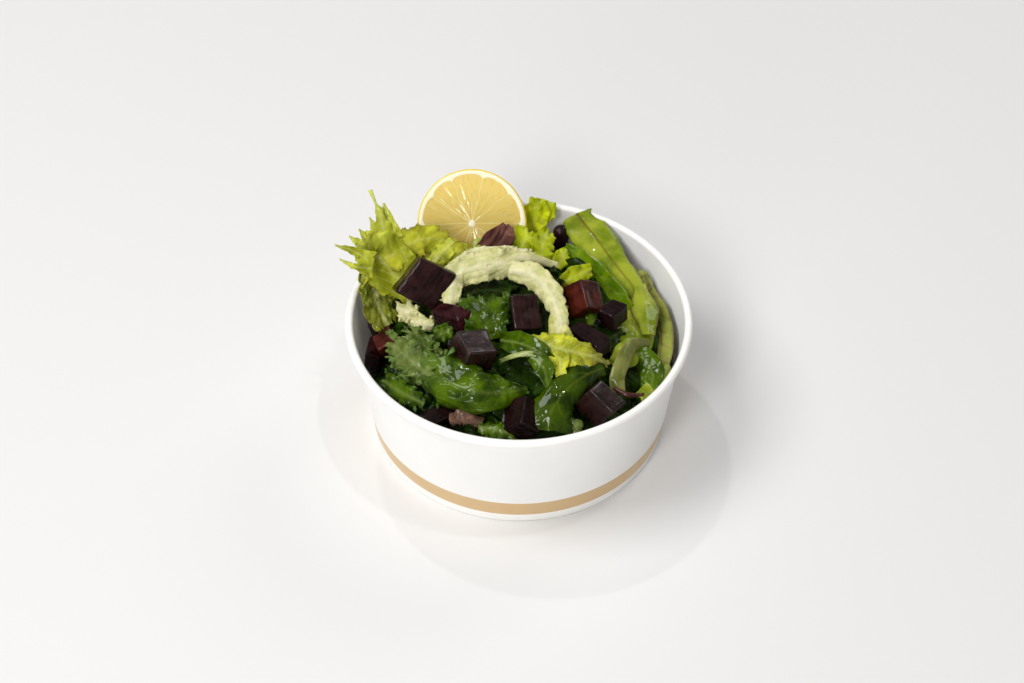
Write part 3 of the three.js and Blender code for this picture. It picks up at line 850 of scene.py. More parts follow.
class LeafBlade:
    """Builds the closed thin mesh of one leaf."""

    def __init__(self, leaf: Leaf) -> None:
        """Lays out the leaf's grid.

        Args:
            leaf: sizes, relief and finish of the leaf.
        """
        self.leaf = leaf
        self.spine = np.array(leaf.spine, float)
        samples = catmull_rom(self.spine, np.linspace(0, 1, 60))
        self.length = float(np.linalg.norm(np.diff(samples, axis=0), axis=1).sum())
        cell = leaf.relief.cell
        self.rows = max(8, round(self.length / cell))
        self.columns = 2 * max(3, round(max(leaf.half) / cell))
        lengthways, across = np.linspace(0, 1, self.rows + 1), np.linspace(-1, 1, self.columns + 1)
        t, s = np.meshgrid(lengthways, across, indexing="ij")
        self.t, self.s = t.ravel(), s.ravel()
        self.hand = np.where(self.s < 0, -1.0, 1.0)

    def field(self, size: float, seed: int, u: np.ndarray, v: np.ndarray) -> np.ndarray:
        """Random field over the flattened leaf, u across and v along it in mm."""
        return smooth_noise(np.stack([u, v, np.zeros_like(u)], axis=1), size, self.leaf.seed * 13 + seed)

    def ragged(self) -> np.ndarray:
        """How far the margin is frilled and cut at each point, from 0 to 1."""
        share = np.clip((self.t - self.leaf.relief.plain_to) / 0.2, 0, 1)
        return share * share * (3 - 2 * share)

    def teeth(self, v: np.ndarray) -> np.ndarray:
        """Share of the half width that the outline keeps at the place v along the leaf."""
        relief = self.leaf.relief
        if relief.margin is Margin.SMOOTH:
            return 1 + 0.05 * self.field(7.0, 3, 9 * self.hand, v)
        wander = 0.8 * self.field(relief.tooth_length * 2.2, 4, 20 * self.hand, v)
        at = v / relief.tooth_length + wander + 0.37 * self.hand
        peak = 1 - np.abs(2 * (at - np.floor(at)) - 1)
        depth = relief.teeth * (0.6 + 0.4 * self.field(relief.tooth_length * 1.3, 5, 30 * self.hand, v))
        if relief.margin is Margin.POINTED:
            small = v / (relief.tooth_length * 0.31) + 2 * wander
            peak = 0.8 * peak**1.5 + 0.2 * (1 - np.abs(2 * (small - np.floor(small)) - 1))
        else:
            peak = 1 - (1 - peak) ** 2.2
        return 1 - depth * (1 - peak) * self.ragged()

    def sheet(self) -> tuple[np.ndarray, dict[str, np.ndarray]]:
        """Places the middle sheet of the leaf and works out its masks.

        Returns:
            The points in mm, and the masks and sizes of every point by name.
        """
        leaf, relief = self.leaf, self.leaf.relief
        side_share = np.abs(self.s)
        cut = relief.tip_cut * (0.5 + 0.5 * self.field(0.3, 7, self.s, 0 * self.s))
        t = self.t - cut * self.t**4
        curve = catmull_rom(self.spine, t)
        tangent = unit(catmull_rom(self.spine, t + 0.01) - catmull_rom(self.spine, t - 0.01))
        face_end = leaf.face_end or leaf.face
        up = np.array(leaf.face) * (1 - t[:, None]) + np.array(face_end) * t[:, None]
        up = unit(up - tangent * np.sum(up * tangent, axis=1, keepdims=True))
        side = np.cross(up, tangent)
        v = t * self.length
        half = along(np.array(leaf.half, float), t)
        reach = half * (1 + (self.teeth(v) - 1) * side_share**2.5)
        turn = np.where(self.s < 0, leaf.curl[0], leaf.curl[1])
        turn = np.where(np.abs(turn) < 1e-3, 1e-3, turn)
        bend = np.sin(turn * side_share) / turn
        rise = (1 - np.cos(turn * side_share)) / turn
        hand = self.hand[:, None]
        out = side * hand * math.cos(leaf.fold) + up * math.sin(leaf.fold)
        over = up * math.cos(leaf.fold) - side * hand * math.sin(leaf.fold)
        phase = np.where(self.s < 0, -0.6, 2.0)
        wave = np.sin(2 * math.pi * leaf.waves * t + phase)
        points = curve + out * (reach * bend)[:, None]
        points += over * (reach * rise + leaf.ruffle * side_share**2 * wave)[:, None]
        u = self.s * reach
        points -= over * (relief.roll * np.clip((side_share - 0.7) / 0.3, 0, 1) ** 2)[:, None]
        points += self.frills(points, tangent, u, v)
        relief_up, vein, crease = self.crinkles(u, v, half)
        points += self.normals(points) * relief_up[:, None]
        rib = np.exp(-((u / relief.rib_width) ** 2)) * (1 - 0.5 * t)
        edge = np.clip(1 - (reach - np.abs(u)) / np.maximum(0.3 * half, 0.5), 0, 1) ** 1.5
        far = np.clip((t - 0.6) / 0.35, 0, 1)
        far = far * far * (3 - 2 * far)
        masks = {"vein": vein, "edge": edge, "rib": rib, "far": far, "crease": crease, "u": u, "v": v}
        return press_inside(points), masks

    def frills(self, points: np.ndarray, tangent: np.ndarray, u: np.ndarray, v: np.ndarray) -> np.ndarray:
        """Small waves of the margin, which lean over along the leaf as real frills do."""
        relief = self.leaf.relief
        tip = np.clip((self.t - 0.8) / 0.2, 0, 1) ** 2
        normal = self.normals(points)
        total = np.zeros_like(points)
        octaves = ((1.0, 1.0, 0.0), (0.55, 0.43, 0.4), (0.25, 0.19, 0.7))
        for octave, (height, length, nearer) in enumerate(octaves):
            start = relief.frill_start + (1 - relief.frill_start) * nearer
            weight = np.clip((np.abs(self.s) - start) / (1 - start), 0, 1) ** 1.4 * self.ragged()
            wavelength = relief.frill_length * length
            wander = 1.8 * self.field(wavelength * 1.7, 11 + octave, 7 * self.hand, v)
            phase = 2 * math.pi * v / wavelength + wander + 1.9 * self.hand
            amount = relief.frill * height * weight
            total += normal * (amount * np.sin(phase))[:, None]
            total += tangent * (0.55 * amount * np.cos(phase))[:, None]
            across = 2 * math.pi * u / wavelength + octave
            total += normal * (relief.frill * height * tip * (1 - weight) * np.sin(across))[:, None]
        return total

    def crinkles(self, u: np.ndarray, v: np.ndarray, half: np.ndarray) -> tuple[np.ndarray, ...]:
        """Relief of the blade between its veins, and the masks of the side veins and of the painted shade in
        the creases.

        Args:
            u: distance across the leaf from its midrib.
            v: distance along the leaf.
            half: half width at each point.

        Returns:
            The height in mm and the two masks from 0 to 1.
        """
        relief = self.leaf.relief
        bow = 0.5 * self.field(12.0, 21, u, v)
        at = (v - relief.vein_slant * np.abs(u)) / relief.vein_gap + bow + 0.25 * self.hand
        apart = np.abs(at - np.round(at)) * relief.vein_gap / math.hypot(1, relief.vein_slant)
        fade = np.clip(1.1 - np.abs(u) / np.maximum(half, 0.5), 0, 1)
        vein = np.exp(-((apart / relief.vein_width) ** 2)) * fade
        bulge = np.sin(math.pi * np.clip(np.abs(at - np.round(at)) * 2, 0, 1) / 2) ** 0.8
        height = relief.quilt * (bulge - 0.5) * np.clip(np.abs(u) / 2.0, 0, 1)
        sharp = abs(relief.ridged)
        for octave, (share, size) in enumerate(((0.7, 1.0), (0.4, 0.45), (0.16, 0.2))):
            field = self.field(relief.crinkle_size * size, 31 + octave, u, v / relief.stretch)
            wrinkle = (1 - 2 * np.abs(field)) * math.copysign(1, relief.ridged)
            height = height + relief.crinkle * share * (field + (wrinkle - field) * sharp)
        # Painted shade: how far each point lies below the blade's mean height, which darkens the valleys.
        crease = np.clip((np.mean(height) - height) / max(0.9 * relief.crinkle, 0.2), 0, 1)
        return height, vein, crease

    def normals(self, points: np.ndarray) -> np.ndarray:
        """The direction of the upper side at every point of the sheet."""
        grid = points.reshape(self.rows + 1, self.columns + 1, 3)
        ahead, across = np.gradient(grid, axis=0), np.gradient(grid, axis=1)
        return unit(np.cross(ahead, across)).reshape(-1, 3)

    def build(self) -> tuple[np.ndarray, np.ndarray, np.ndarray, dict[str, np.ndarray]]:
        """Closes the sheet into a thin solid, both faces split into triangles alike.

        Returns:
            The points, the triangles, the texture coordinates and the masks of the solid.
        """
        relief = self.leaf.relief
        middle, masks = self.sheet()
        normal = self.normals(middle)
        thickness = relief.thickness * (1 - 0.55 * masks["edge"]) / 2
        upper = middle + normal * (thickness + 0.3 * relief.rib_height * masks["rib"])[:, None]
        lower = middle - normal * (thickness + 0.7 * relief.rib_height * masks["rib"])[:, None]
        at = np.arange(len(middle)).reshape(self.rows + 1, self.columns + 1)
        a, b = at[:-1, :-1].ravel(), at[1:, :-1].ravel()
        c, d = at[1:, 1:].ravel(), at[:-1, 1:].ravel()
        below = len(middle)
        top = np.vstack([np.stack([a, b, c], 1), np.stack([a, c, d], 1)])
        bottom = top[:, ::-1] + below
        edges = [
            (at[:-1, 0], at[1:, 0]), (at[1:, -1], at[:-1, -1]),
            (at[-1, :-1], at[-1, 1:]), (at[0, 1:], at[0, :-1]),
        ]
        rims = [
            strip for p, q in edges
            for strip in (np.stack([q, p, p + below], 1), np.stack([q, p + below, q + below], 1))
        ]
        flat = np.stack([masks["u"] / 10, masks["v"] / 10], axis=1)
        solid = {name: np.tile(masks[name], 2) for name in ("vein", "edge", "rib", "far", "crease")}
        solid["under"] = np.concatenate([np.zeros(below), np.ones(below)])
        return np.vstack([upper, lower]), np.vstack([top, bottom, *rims]), np.vstack([flat, flat]), solid


LEAVES: tuple[Leaf, ...] = (
    Leaf("lettuce_fan", LETTUCE_YELLOW, replace(FRISEE, teeth=0.55, tooth_length=8.0, frill=0.9),
         ((-46, 15, 56), (-52.5, 19, 65), (-60, 22, 74), (-66, 20.5, 79.5), (-71, 18.5, 83)),
         (4, 11, 16, 12, 6), (0.3, -0.75, 0.6), (0.1, -0.7, 0.7), (0.4, 0.2), ruffle=1.6, waves=4, seed=1),
    Leaf("fan_point_low", LETTUCE_YELLOW, POINT, ((-64, 16, 78), (-71, 18.5, 82), (-79, 18, 86)),
         (5, 1.8, 0.4), curl=(0.5, 0.3), seed=56),
    Leaf("fan_point_lower", LETTUCE_YELLOW, POINT, ((-63, 13, 77), (-70, 10.5, 80.5), (-77, 12, 83.5)),
         (4.5, 1.4, 0.3), curl=(0.3, 0.5), seed=57),
    Leaf("fan_point_middle", LETTUCE_YELLOW, POINT, ((-63, 22, 77), (-69, 25, 80.5), (-73.5, 27, 83)),
         (4, 2, 0.3), curl=(0.5, 0.3), seed=58),
    Leaf("fan_point_high", LETTUCE_YELLOW, POINT, ((-60, 26, 76), (-65.5, 29, 79.5), (-69.5, 31.5, 83)),
         (4, 2.4, 0.3), curl=(0.3, 0.4), seed=59),
    Leaf("fan_point_top", LETTUCE_YELLOW, POINT, ((-58, 29, 75), (-62, 34, 79.5), (-65, 39, 83)),
         (4.5, 2.2, 0.3), curl=(0.4, 0.3), seed=60),
    Leaf("lettuce_spike", LETTUCE_YELLOW,
         replace(FRISEE, teeth=0.3, frill=0.2, rib_height=0.2, tip_cut=0.02),
         ((-57.5, 25.5, 75), (-59, 33, 80), (-60.5, 38.5, 86), (-62.5, 42.5, 89), (-65, 48, 91)),
         (7, 5, 2, 0.5, 1.1), curl=(-0.4, 0.3), seed=2),
    Leaf("lettuce_tooth", LETTUCE_YELLOW, replace(FRISEE, teeth=0.3, frill=0.3, tip_cut=0.02),
         ((-56, 31, 77), (-58, 38.5, 82), (-59, 44, 87)), (7, 4, 0.5), curl=(0.4, -0.4), seed=41),
    Leaf("lettuce_crest", LETTUCE_OLIVE, replace(SOFT, frill=1.0, crinkle=0.8),
         ((-58, 22, 74), (-47, 30, 76), (-37, 35, 74), (-28, 36, 69), (-18, 34, 65)),
         (8, 7.5, 6.5, 2.6, 1.4), curl=(-0.5, -0.6), ruffle=1.3, waves=4, seed=3),
    Leaf("crumpled_bits", LETTUCE_YELLOW, replace(WRINKLED, crinkle=1.3, stretch=1.5),
         ((-38.5, 25, 68), (-33, 30.5, 70), (-28.5, 37, 70)), (4, 5, 3), curl=(-0.4, -0.5), ruffle=1,
         waves=2, seed=42),
    Leaf("brown_bits", LETTUCE_OLIVE, SOFT, ((-32, 28, 67), (-25.5, 33, 68), (-18.5, 30.5, 67)),
         (3, 4.5, 3), seed=43),
    Leaf("lettuce_hang", LETTUCE_HANGING,
         replace(FRISEE, teeth=0.12, frill=0.9, crinkle=1.2, crinkle_size=3.4, ridged=-0.7, tip_cut=0.08),
         ((-59.5, 25, 66), (-62, 20, 61), (-61, 13, 55), (-56.5, 5.5, 48)), (8, 9.5, 9, 7), RIGHT,
         curl=(0.2, -0.4), ruffle=1.2, waves=3.5, seed=4),
    Leaf("lettuce_up", LETTUCE_PAINTED_LIGHT, replace(SOFT, frill=0.9), ((6, 60, 55), (8, 63, 63), (9, 66.5, 69.5)),
         (4, 6.5, 3.5), (-0.2, -0.75, 0.6), curl=(0.5, 0.3), ruffle=0.8, waves=2, seed=5),
    Leaf("lettuce_up_right", LETTUCE_PAINTED_LIGHT, replace(SOFT, frill=0.8),
         ((10, 60, 60), (13, 63.5, 65), (13, 67.5, 67)), (3, 4.5, 2.5), (0.1, -0.75, 0.6), curl=(-0.3, 0.8),
         seed=61),
    Leaf("lettuce_mid", LETTUCE_BRIGHT, replace(SOFT, frill=1.1, crinkle=0.8),
         ((-1, 36, 62), (2.5, 42.5, 65), (4, 51, 65)), (5, 7.5, 4.5), curl=(-0.5, 0.5), ruffle=1, waves=2,
         seed=6),
    Leaf("lettuce_bud", LETTUCE_BRIGHT, replace(SOFT, frill=1.0),
         ((10, 35, 60), (10.5, 42, 63), (13.5, 52.5, 63)), (5, 5.5, 3.5), curl=(-0.5, 0.6), ruffle=0.9,
         waves=2, seed=7),
    Leaf("lettuce_bit", LETTUCE_BRIGHT, SOFT, ((17, 31, 60), (19, 35.5, 62), (21.5, 41.5, 61)), (2.5, 4, 2),
         curl=(-0.5, 0.4), seed=44),
    Leaf("red_under", RED_LEAF, replace(SOFT, frill=0.2, crinkle=0.3),
         ((-11, 35, 67), (-6, 42, 69), (-3.5, 48, 69.5)), (3.5, 4.5, 1.6), curl=(0.3, 1.0), seed=8),
    Leaf("red_over", RED_LEAF, replace(SOFT, frill=0.15, crinkle=0.25),
         ((-18, 35, 67), (-12, 39, 70), (-6, 47, 72)), (2.4, 4, 1.2), curl=(-0.4, 0.7), seed=9),
    Leaf("red_stalk", STALK_PALE, replace(SOFT, frill=0.2),
         ((-20, 33, 67), (-17, 37, 69), (-13.5, 40, 69.5)), (2.6, 3, 1.4), curl=(-0.5, -0.5), seed=45),
    Leaf("napa_body", NAPA, replace(WRINKLED, margin=Margin.POINTED, teeth=0.22, tooth_length=5.0),
         ((-31, 3, 66), (-28, 13, 72), (-17, 16, 75), (-4, 19, 75), (8, 23, 72)), (3.5, 6.5, 7.5, 7, 4),
         curl=(-0.4, -0.4), ruffle=1.6, waves=2.8, seed=10),
    Leaf("napa_strip", NAPA, replace(WRINKLED, thickness=0.9, crinkle=0.7, rib_width=2.5),
         ((-30, 20, 71), (-20, 23, 75.5), (-6, 24, 76.5), (6, 26, 74)), (1.2, 2.8, 2.6, 1.4),
         curl=(-0.5, -0.3), ruffle=0.5, waves=3, seed=49),
    Leaf("napa_drop", NAPA, replace(WRINKLED, margin=Margin.POINTED, teeth=0.3, tooth_length=4.0),
         ((-27, 14, 73), (-29, 5, 70), (-30, -3, 66)), (4, 4.5, 2), curl=(-0.4, -0.4), ruffle=0.8, waves=2,
         seed=50),
    Leaf("napa_rib", NAPA, replace(STALK, thickness=1.6), ((-12, 20, 75), (3, 22, 75), (17, 23, 69)),
         (1.2, 2.2, 1.6), seed=11),
    Leaf("napa_arm", NAPA, replace(WRINKLED, frill=0.5, frill_length=7.0, teeth=0.2, tooth_length=5.0),
         ((-4, 15, 74), (6, 10, 75.5), (13, 1, 74.5), (17, -9, 72), (18, -17, 69.5), (18, -23, 66.5)),
         (4.5, 6, 5.5, 4, 3, 1.5), curl=(-0.6, -0.5), ruffle=1.0, waves=3.2, seed=12),
    Leaf("napa_stem", NAPA_BASE, replace(STALK, crinkle=0.6),
         ((18.5, -2, 70), (16.5, -12.5, 70), (17.5, -22, 69)), (3, 4, 5.5), curl=(-0.5, -0.4), seed=46),
    Leaf("napa_lump", NAPA, CRUMPLED, ((-53, 7, 59), (-48.5, 1.5, 62.5), (-43.5, -2, 63.5)), (3, 5.5, 3.5),
         curl=(-0.6, -0.6), ruffle=1.2, waves=2, seed=13),
    Leaf("napa_lump_right", NAPA, CRUMPLED, ((-47, -2, 60), (-42, -7, 63.5), (-36, -9, 63)), (3, 4.5, 3),
         curl=(-0.6, -0.6), ruffle=1, waves=2, seed=62),
    Leaf("napa_lump_low", NAPA, CRUMPLED, ((-51, 2, 57), (-45, -2.5, 61), (-41, -6, 60)), (2.5, 4, 2.5),
         STEEP, curl=(-0.4, -0.4), seed=63),
    Leaf("yellow_leaf", YELLOW_LEAF, replace(SOFT, crinkle=0.7, frill=0.7, tip_cut=0.0),
         ((4.5, -21, 69), (11, -27, 71.5), (18.5, -31, 72), (28, -31.5, 69.5), (38, -30, 62)),
         (1.6, 5, 7.5, 5, 0.8), curl=(0.3, -0.6), ruffle=0.8, waves=3, seed=14),
    Leaf("yellow_flap", YELLOW_LEAF, SOFT, ((17, -33, 70), (17.5, -39.5, 66.5), (18, -42.5, 62)),
         (4.5, 2.6, 1), STEEP, curl=(0.4, 0.4), seed=15),
    Leaf("kale_curl", KALE_PLAIN,
         replace(CURLY, teeth=0.14, tooth_length=6.0, frill=1.3, frill_start=0.6, crinkle=0.8,
             crinkle_size=6.0), ((-12, -19.5, 66), (-14, -13, 72.5), (-15, -1, 75.5)), (6.5, 10, 11),
         curl=(0.2, 0.2), ruffle=1.6, waves=2.5, seed=16),
    Leaf("kale_back", KALE_PAINTED_SHADE, CURLY, ((7, 24, 64), (13, 18, 67), (18, 12, 66)), (3, 5, 3), ruffle=1,
         waves=2, seed=18),
    Leaf("kale_dark", KALE_PAINTED_SHADE, BROAD, ((11, 1, 65), (12, -9, 66), (12, -18, 63)), (3, 4, 4),
         curl=(-0.5, -0.5), seed=19),
    Leaf("light_leaf", LETTUCE_BRIGHT, SOFT, ((18, 15, 65), (24, 18, 67), (32, 25, 65)), (3, 4.5, 3),
         curl=(-0.4, 0.4), seed=20),
    Leaf("green_bit", LEAF_GREEN, SOFT, ((32.5, 2.5, 64), (31, -6, 67), (30.5, -12, 67)), (2, 2.4, 1.5),
         curl=(-0.5, 0.3), seed=47),
    Leaf("kale_blade", KALE_WAXY,
         replace(CURLY, plain_to=0.55, crinkle=2.2, crinkle_size=8.0, stretch=2.4, ridged=-0.5,
             rib_height=0.3, roll=2.5, frill=2.2, frill_length=8.0, teeth=0.14, tooth_length=7.0,
             frill_start=0.62),
         ((4, -42, 60), (-6, -48.5, 64), (-18.5, -50.5, 67), (-31, -45, 67.5), (-44, -34, 65), (-57.5, -20,
             58)), (3, 8, 12, 13, 11, 4), FRONT, LEFT, (-0.7, -0.7), ruffle=2.4, waves=3.3, seed=21),
    Leaf("kale_curly_edge", KALE_PALE, replace(CURLY, frill=2.4, frill_length=6.5, teeth=0.35),
         ((-36, -42, 65), (-46, -31, 66), (-56.5, -13, 59)), (4, 8.5, 4), LEFT, ruffle=2.2, waves=2.7,
         seed=51),
    Leaf("kale_curly_side", KALE_PALE, replace(CURLY, frill=2.2, frill_length=5.5, teeth=0.3),
         ((-33.5, -32, 67.5), (-42, -23, 67), (-51, -12, 61.5)), (4, 7, 3.5), LEFT, ruffle=1.9, waves=2.3,
         seed=52),
    Leaf("kale_curly_low", KALE, replace(CURLY, frill=1.8),
         ((-40, -49, 58), (-50, -41, 56.5), (-59, -28, 51.5)), (3, 5.5, 3), LEFT, ruffle=1.5, waves=3,
         seed=53),
    Leaf("kale_tuft", KALE, replace(CURLY, frill=1.2, frill_length=4.0),
         ((-39, -19, 64), (-33, -19, 69), (-28, -17, 71)), (3, 4.5, 3), ruffle=1.3, waves=3, seed=22),
    Leaf("kale_lower", KALE, CURLY, ((-43, -38, 51), (-51, -36, 53), (-58, -29, 51)), (5, 6, 4), LEFT,
         ruffle=1.2, waves=3, seed=23),
    Leaf("arch", FOLD_PALE, replace(BROAD, thickness=0.8, rib_height=0.2),
         ((-8, -33, 67), (-1.5, -33, 70.5), (4.5, -33.5, 72), (10, -35.5, 71.5), (13.5, -39, 69.5)),
         (0.8, 1.1, 1.2, 1.1, 0.6), UP, RIGHT, (-0.5, 0.3), seed=24),
    Leaf("arch_flap", KALE, replace(BROAD, rib_height=0.3),
         ((5, -34.5, 71), (10, -39.5, 70), (12.5, -47.5, 63.5)), (2.5, 4.5, 0.8), (0.3, -0.8, 0.5),
         curl=(-0.3, 0.3), ruffle=0.5, waves=1.5, seed=54),
    Leaf("arch_back", KALE, replace(BROAD, crinkle=0.6, crinkle_size=6.0),
         ((-8, -20.5, 67), (0.5, -26, 70.5), (7.5, -31, 71.5), (14.5, -34, 68)), (3.5, 5.5, 4.5, 2),
         curl=(0.3, 0.3), ruffle=0.8, waves=2, seed=25),
    Leaf("front_leaf", LEAF_GREEN,
         replace(BROAD, crinkle=0.6, crinkle_size=7.0, roll=2.0, frill=0.4, frill_length=9.0),
         ((36, -32, 62), (28, -39, 64.5), (19.5, -48, 64.5), (13.5, -56, 60), (12, -61.5, 54)),
         (4, 6.5, 7.5, 9, 12), curl=(-0.6, -0.6), ruffle=1.0, waves=2.4, seed=26),
    Leaf("front_frill", KALE_PALE, CURLY, ((20, -53, 54), (24, -57, 51.5), (21, -60, 47)), (2, 3.6, 3),
         ruffle=1.4, waves=2.5, seed=27),
    Leaf("chard_blade", CHARD, replace(BROAD, roll=1.0, tip_cut=0.0),
         ((26, 64.5, 61.5), (30, 56.5, 61.5), (35, 47.5, 61), (41, 36.5, 59.5), (47.5, 26.5, 57.5), (54,
             17.5, 54.5)), (7.5, 9, 9.5, 7, 6, 4), (0.2, -0.5, 0.8), curl=(-0.3, -0.1), ruffle=0.5, waves=3,
         seed=28),
    Leaf("chard_under", CHARD_UNDER, replace(BROAD, crinkle=0.5),
         ((21, 46, 59), (28, 37, 59.5), (35, 28, 59), (42, 18, 57.5), (49, 9, 55)), (2, 4, 4.5, 4.5, 3),
         (-0.35, -0.7, 0.6), curl=(-0.4, 0.2), ruffle=0.4, waves=3, seed=29),
    Leaf("chard_curl", CHARD_SPOTTED, BROAD, ((51, 27, 53), (55, 32, 54), (59, 30, 48)), (3, 4, 3), UP,
         RIGHT, (-0.5, -0.5), seed=30),
    Leaf("chard_sheet", CHARD_PLAIN, replace(BROAD, crinkle=0.6),
         ((52.5, 21, 53), (51, 7, 55), (48.5, -5.5, 55.5), (45, -17, 55)), (7, 9.5, 10.5, 9),
         curl=(-0.3, -0.3), ruffle=0.7, waves=2, seed=31),
    Leaf("chard_oval", CHARD_EDGED, replace(BROAD, crinkle=0.6, tip_cut=0.0),
         ((53, 25, 56), (55, 9, 57.5), (56, -6, 56)), (3, 6.5, 3.5), (0.2, -0.6, 0.75), curl=(-0.4, -0.4),
         ruffle=0.5, waves=1.5, seed=55),
    Leaf("chard_side", CHARD_SPOTTED, BROAD, ((57, 31, 47), (61, 13, 48), (62, -4, 48), (59, -22, 46)),
         (3.5, 5.5, 6, 5), (-0.5, -0.35, 0.8), curl=(-0.3, -0.2), ruffle=0.7, waves=3, seed=32),
    Leaf("chard_low", KALE, replace(BROAD, crinkle=0.8, crinkle_size=4.0),
         ((47, -14, 54), (53, -20, 55.5), (57, -27, 53), (56, -34, 50)), (3, 5, 5.5, 4), curl=(-0.3, 0.2),
         ruffle=1, waves=2, seed=33),
    Leaf("chard_bottom", CHARD_PLAIN, replace(BROAD, crinkle=0.5),
         ((65, -18, 49), (60, -30, 50), (51, -39, 50)), (3, 5, 3), curl=(-0.3, -0.3), seed=64),
    Leaf("ribbon", RIBBON, replace(STALK, thickness=0.8),
         ((56, -12, 56), (49, -18, 61.5), (44, -29, 62), (41.5, -36, 59), (42, -40, 55)),
         (2, 3, 3.4, 3.4, 3), FRONT, STEEP, (-0.5, -0.5), seed=34),
    Leaf("ribbon_under", CHARD_PLAIN, BROAD, ((51, -8, 55), (46, -20, 58), (40, -27, 58)), (4, 6, 3),
         curl=(-0.3, -0.3), seed=35),
    Leaf("red_stem", STALK_RED, replace(STALK, thickness=1.4),
         ((40, -39, 57), (45.5, -43, 57), (53, -41, 55)), (0.7, 1.1, 0.6), seed=48),
    Leaf("purple_leaf", PINK_LEAF, replace(SOFT, crinkle=0.3),
         ((-29, -53.5, 52), (-23.5, -55, 56), (-15, -55, 52)), (3, 4, 2.5), curl=(-1, -0.8), seed=36),
    Leaf("frill_front", KALE, replace(CURLY, teeth=0.4), ((-17, -56, 51), (-8, -59, 52), (1, -60, 50)),
         (3, 3.6, 3), ruffle=1.4, waves=4, seed=37),
    Leaf("dark_leaf", KALE_PAINTED_SHADE, BROAD, ((19, 34, 58), (25, 30, 61), (30, 26, 60)), (3, 4.5, 3), seed=38),
    Leaf("back_left_leaf", LETTUCE_HANGING, CURLY, ((-30, 30, 60), (-43, 40, 62), (-52, 44, 60)), (6, 9, 5),
         BACK, ruffle=1.4, waves=3, seed=39),
    Leaf("back_leaf", LETTUCE_BRIGHT, CURLY, ((-10, 48, 57), (-4, 56, 56), (-2, 64, 52)), (5, 7, 4), UP,
         ruffle=1.2, waves=3, seed=40),
)


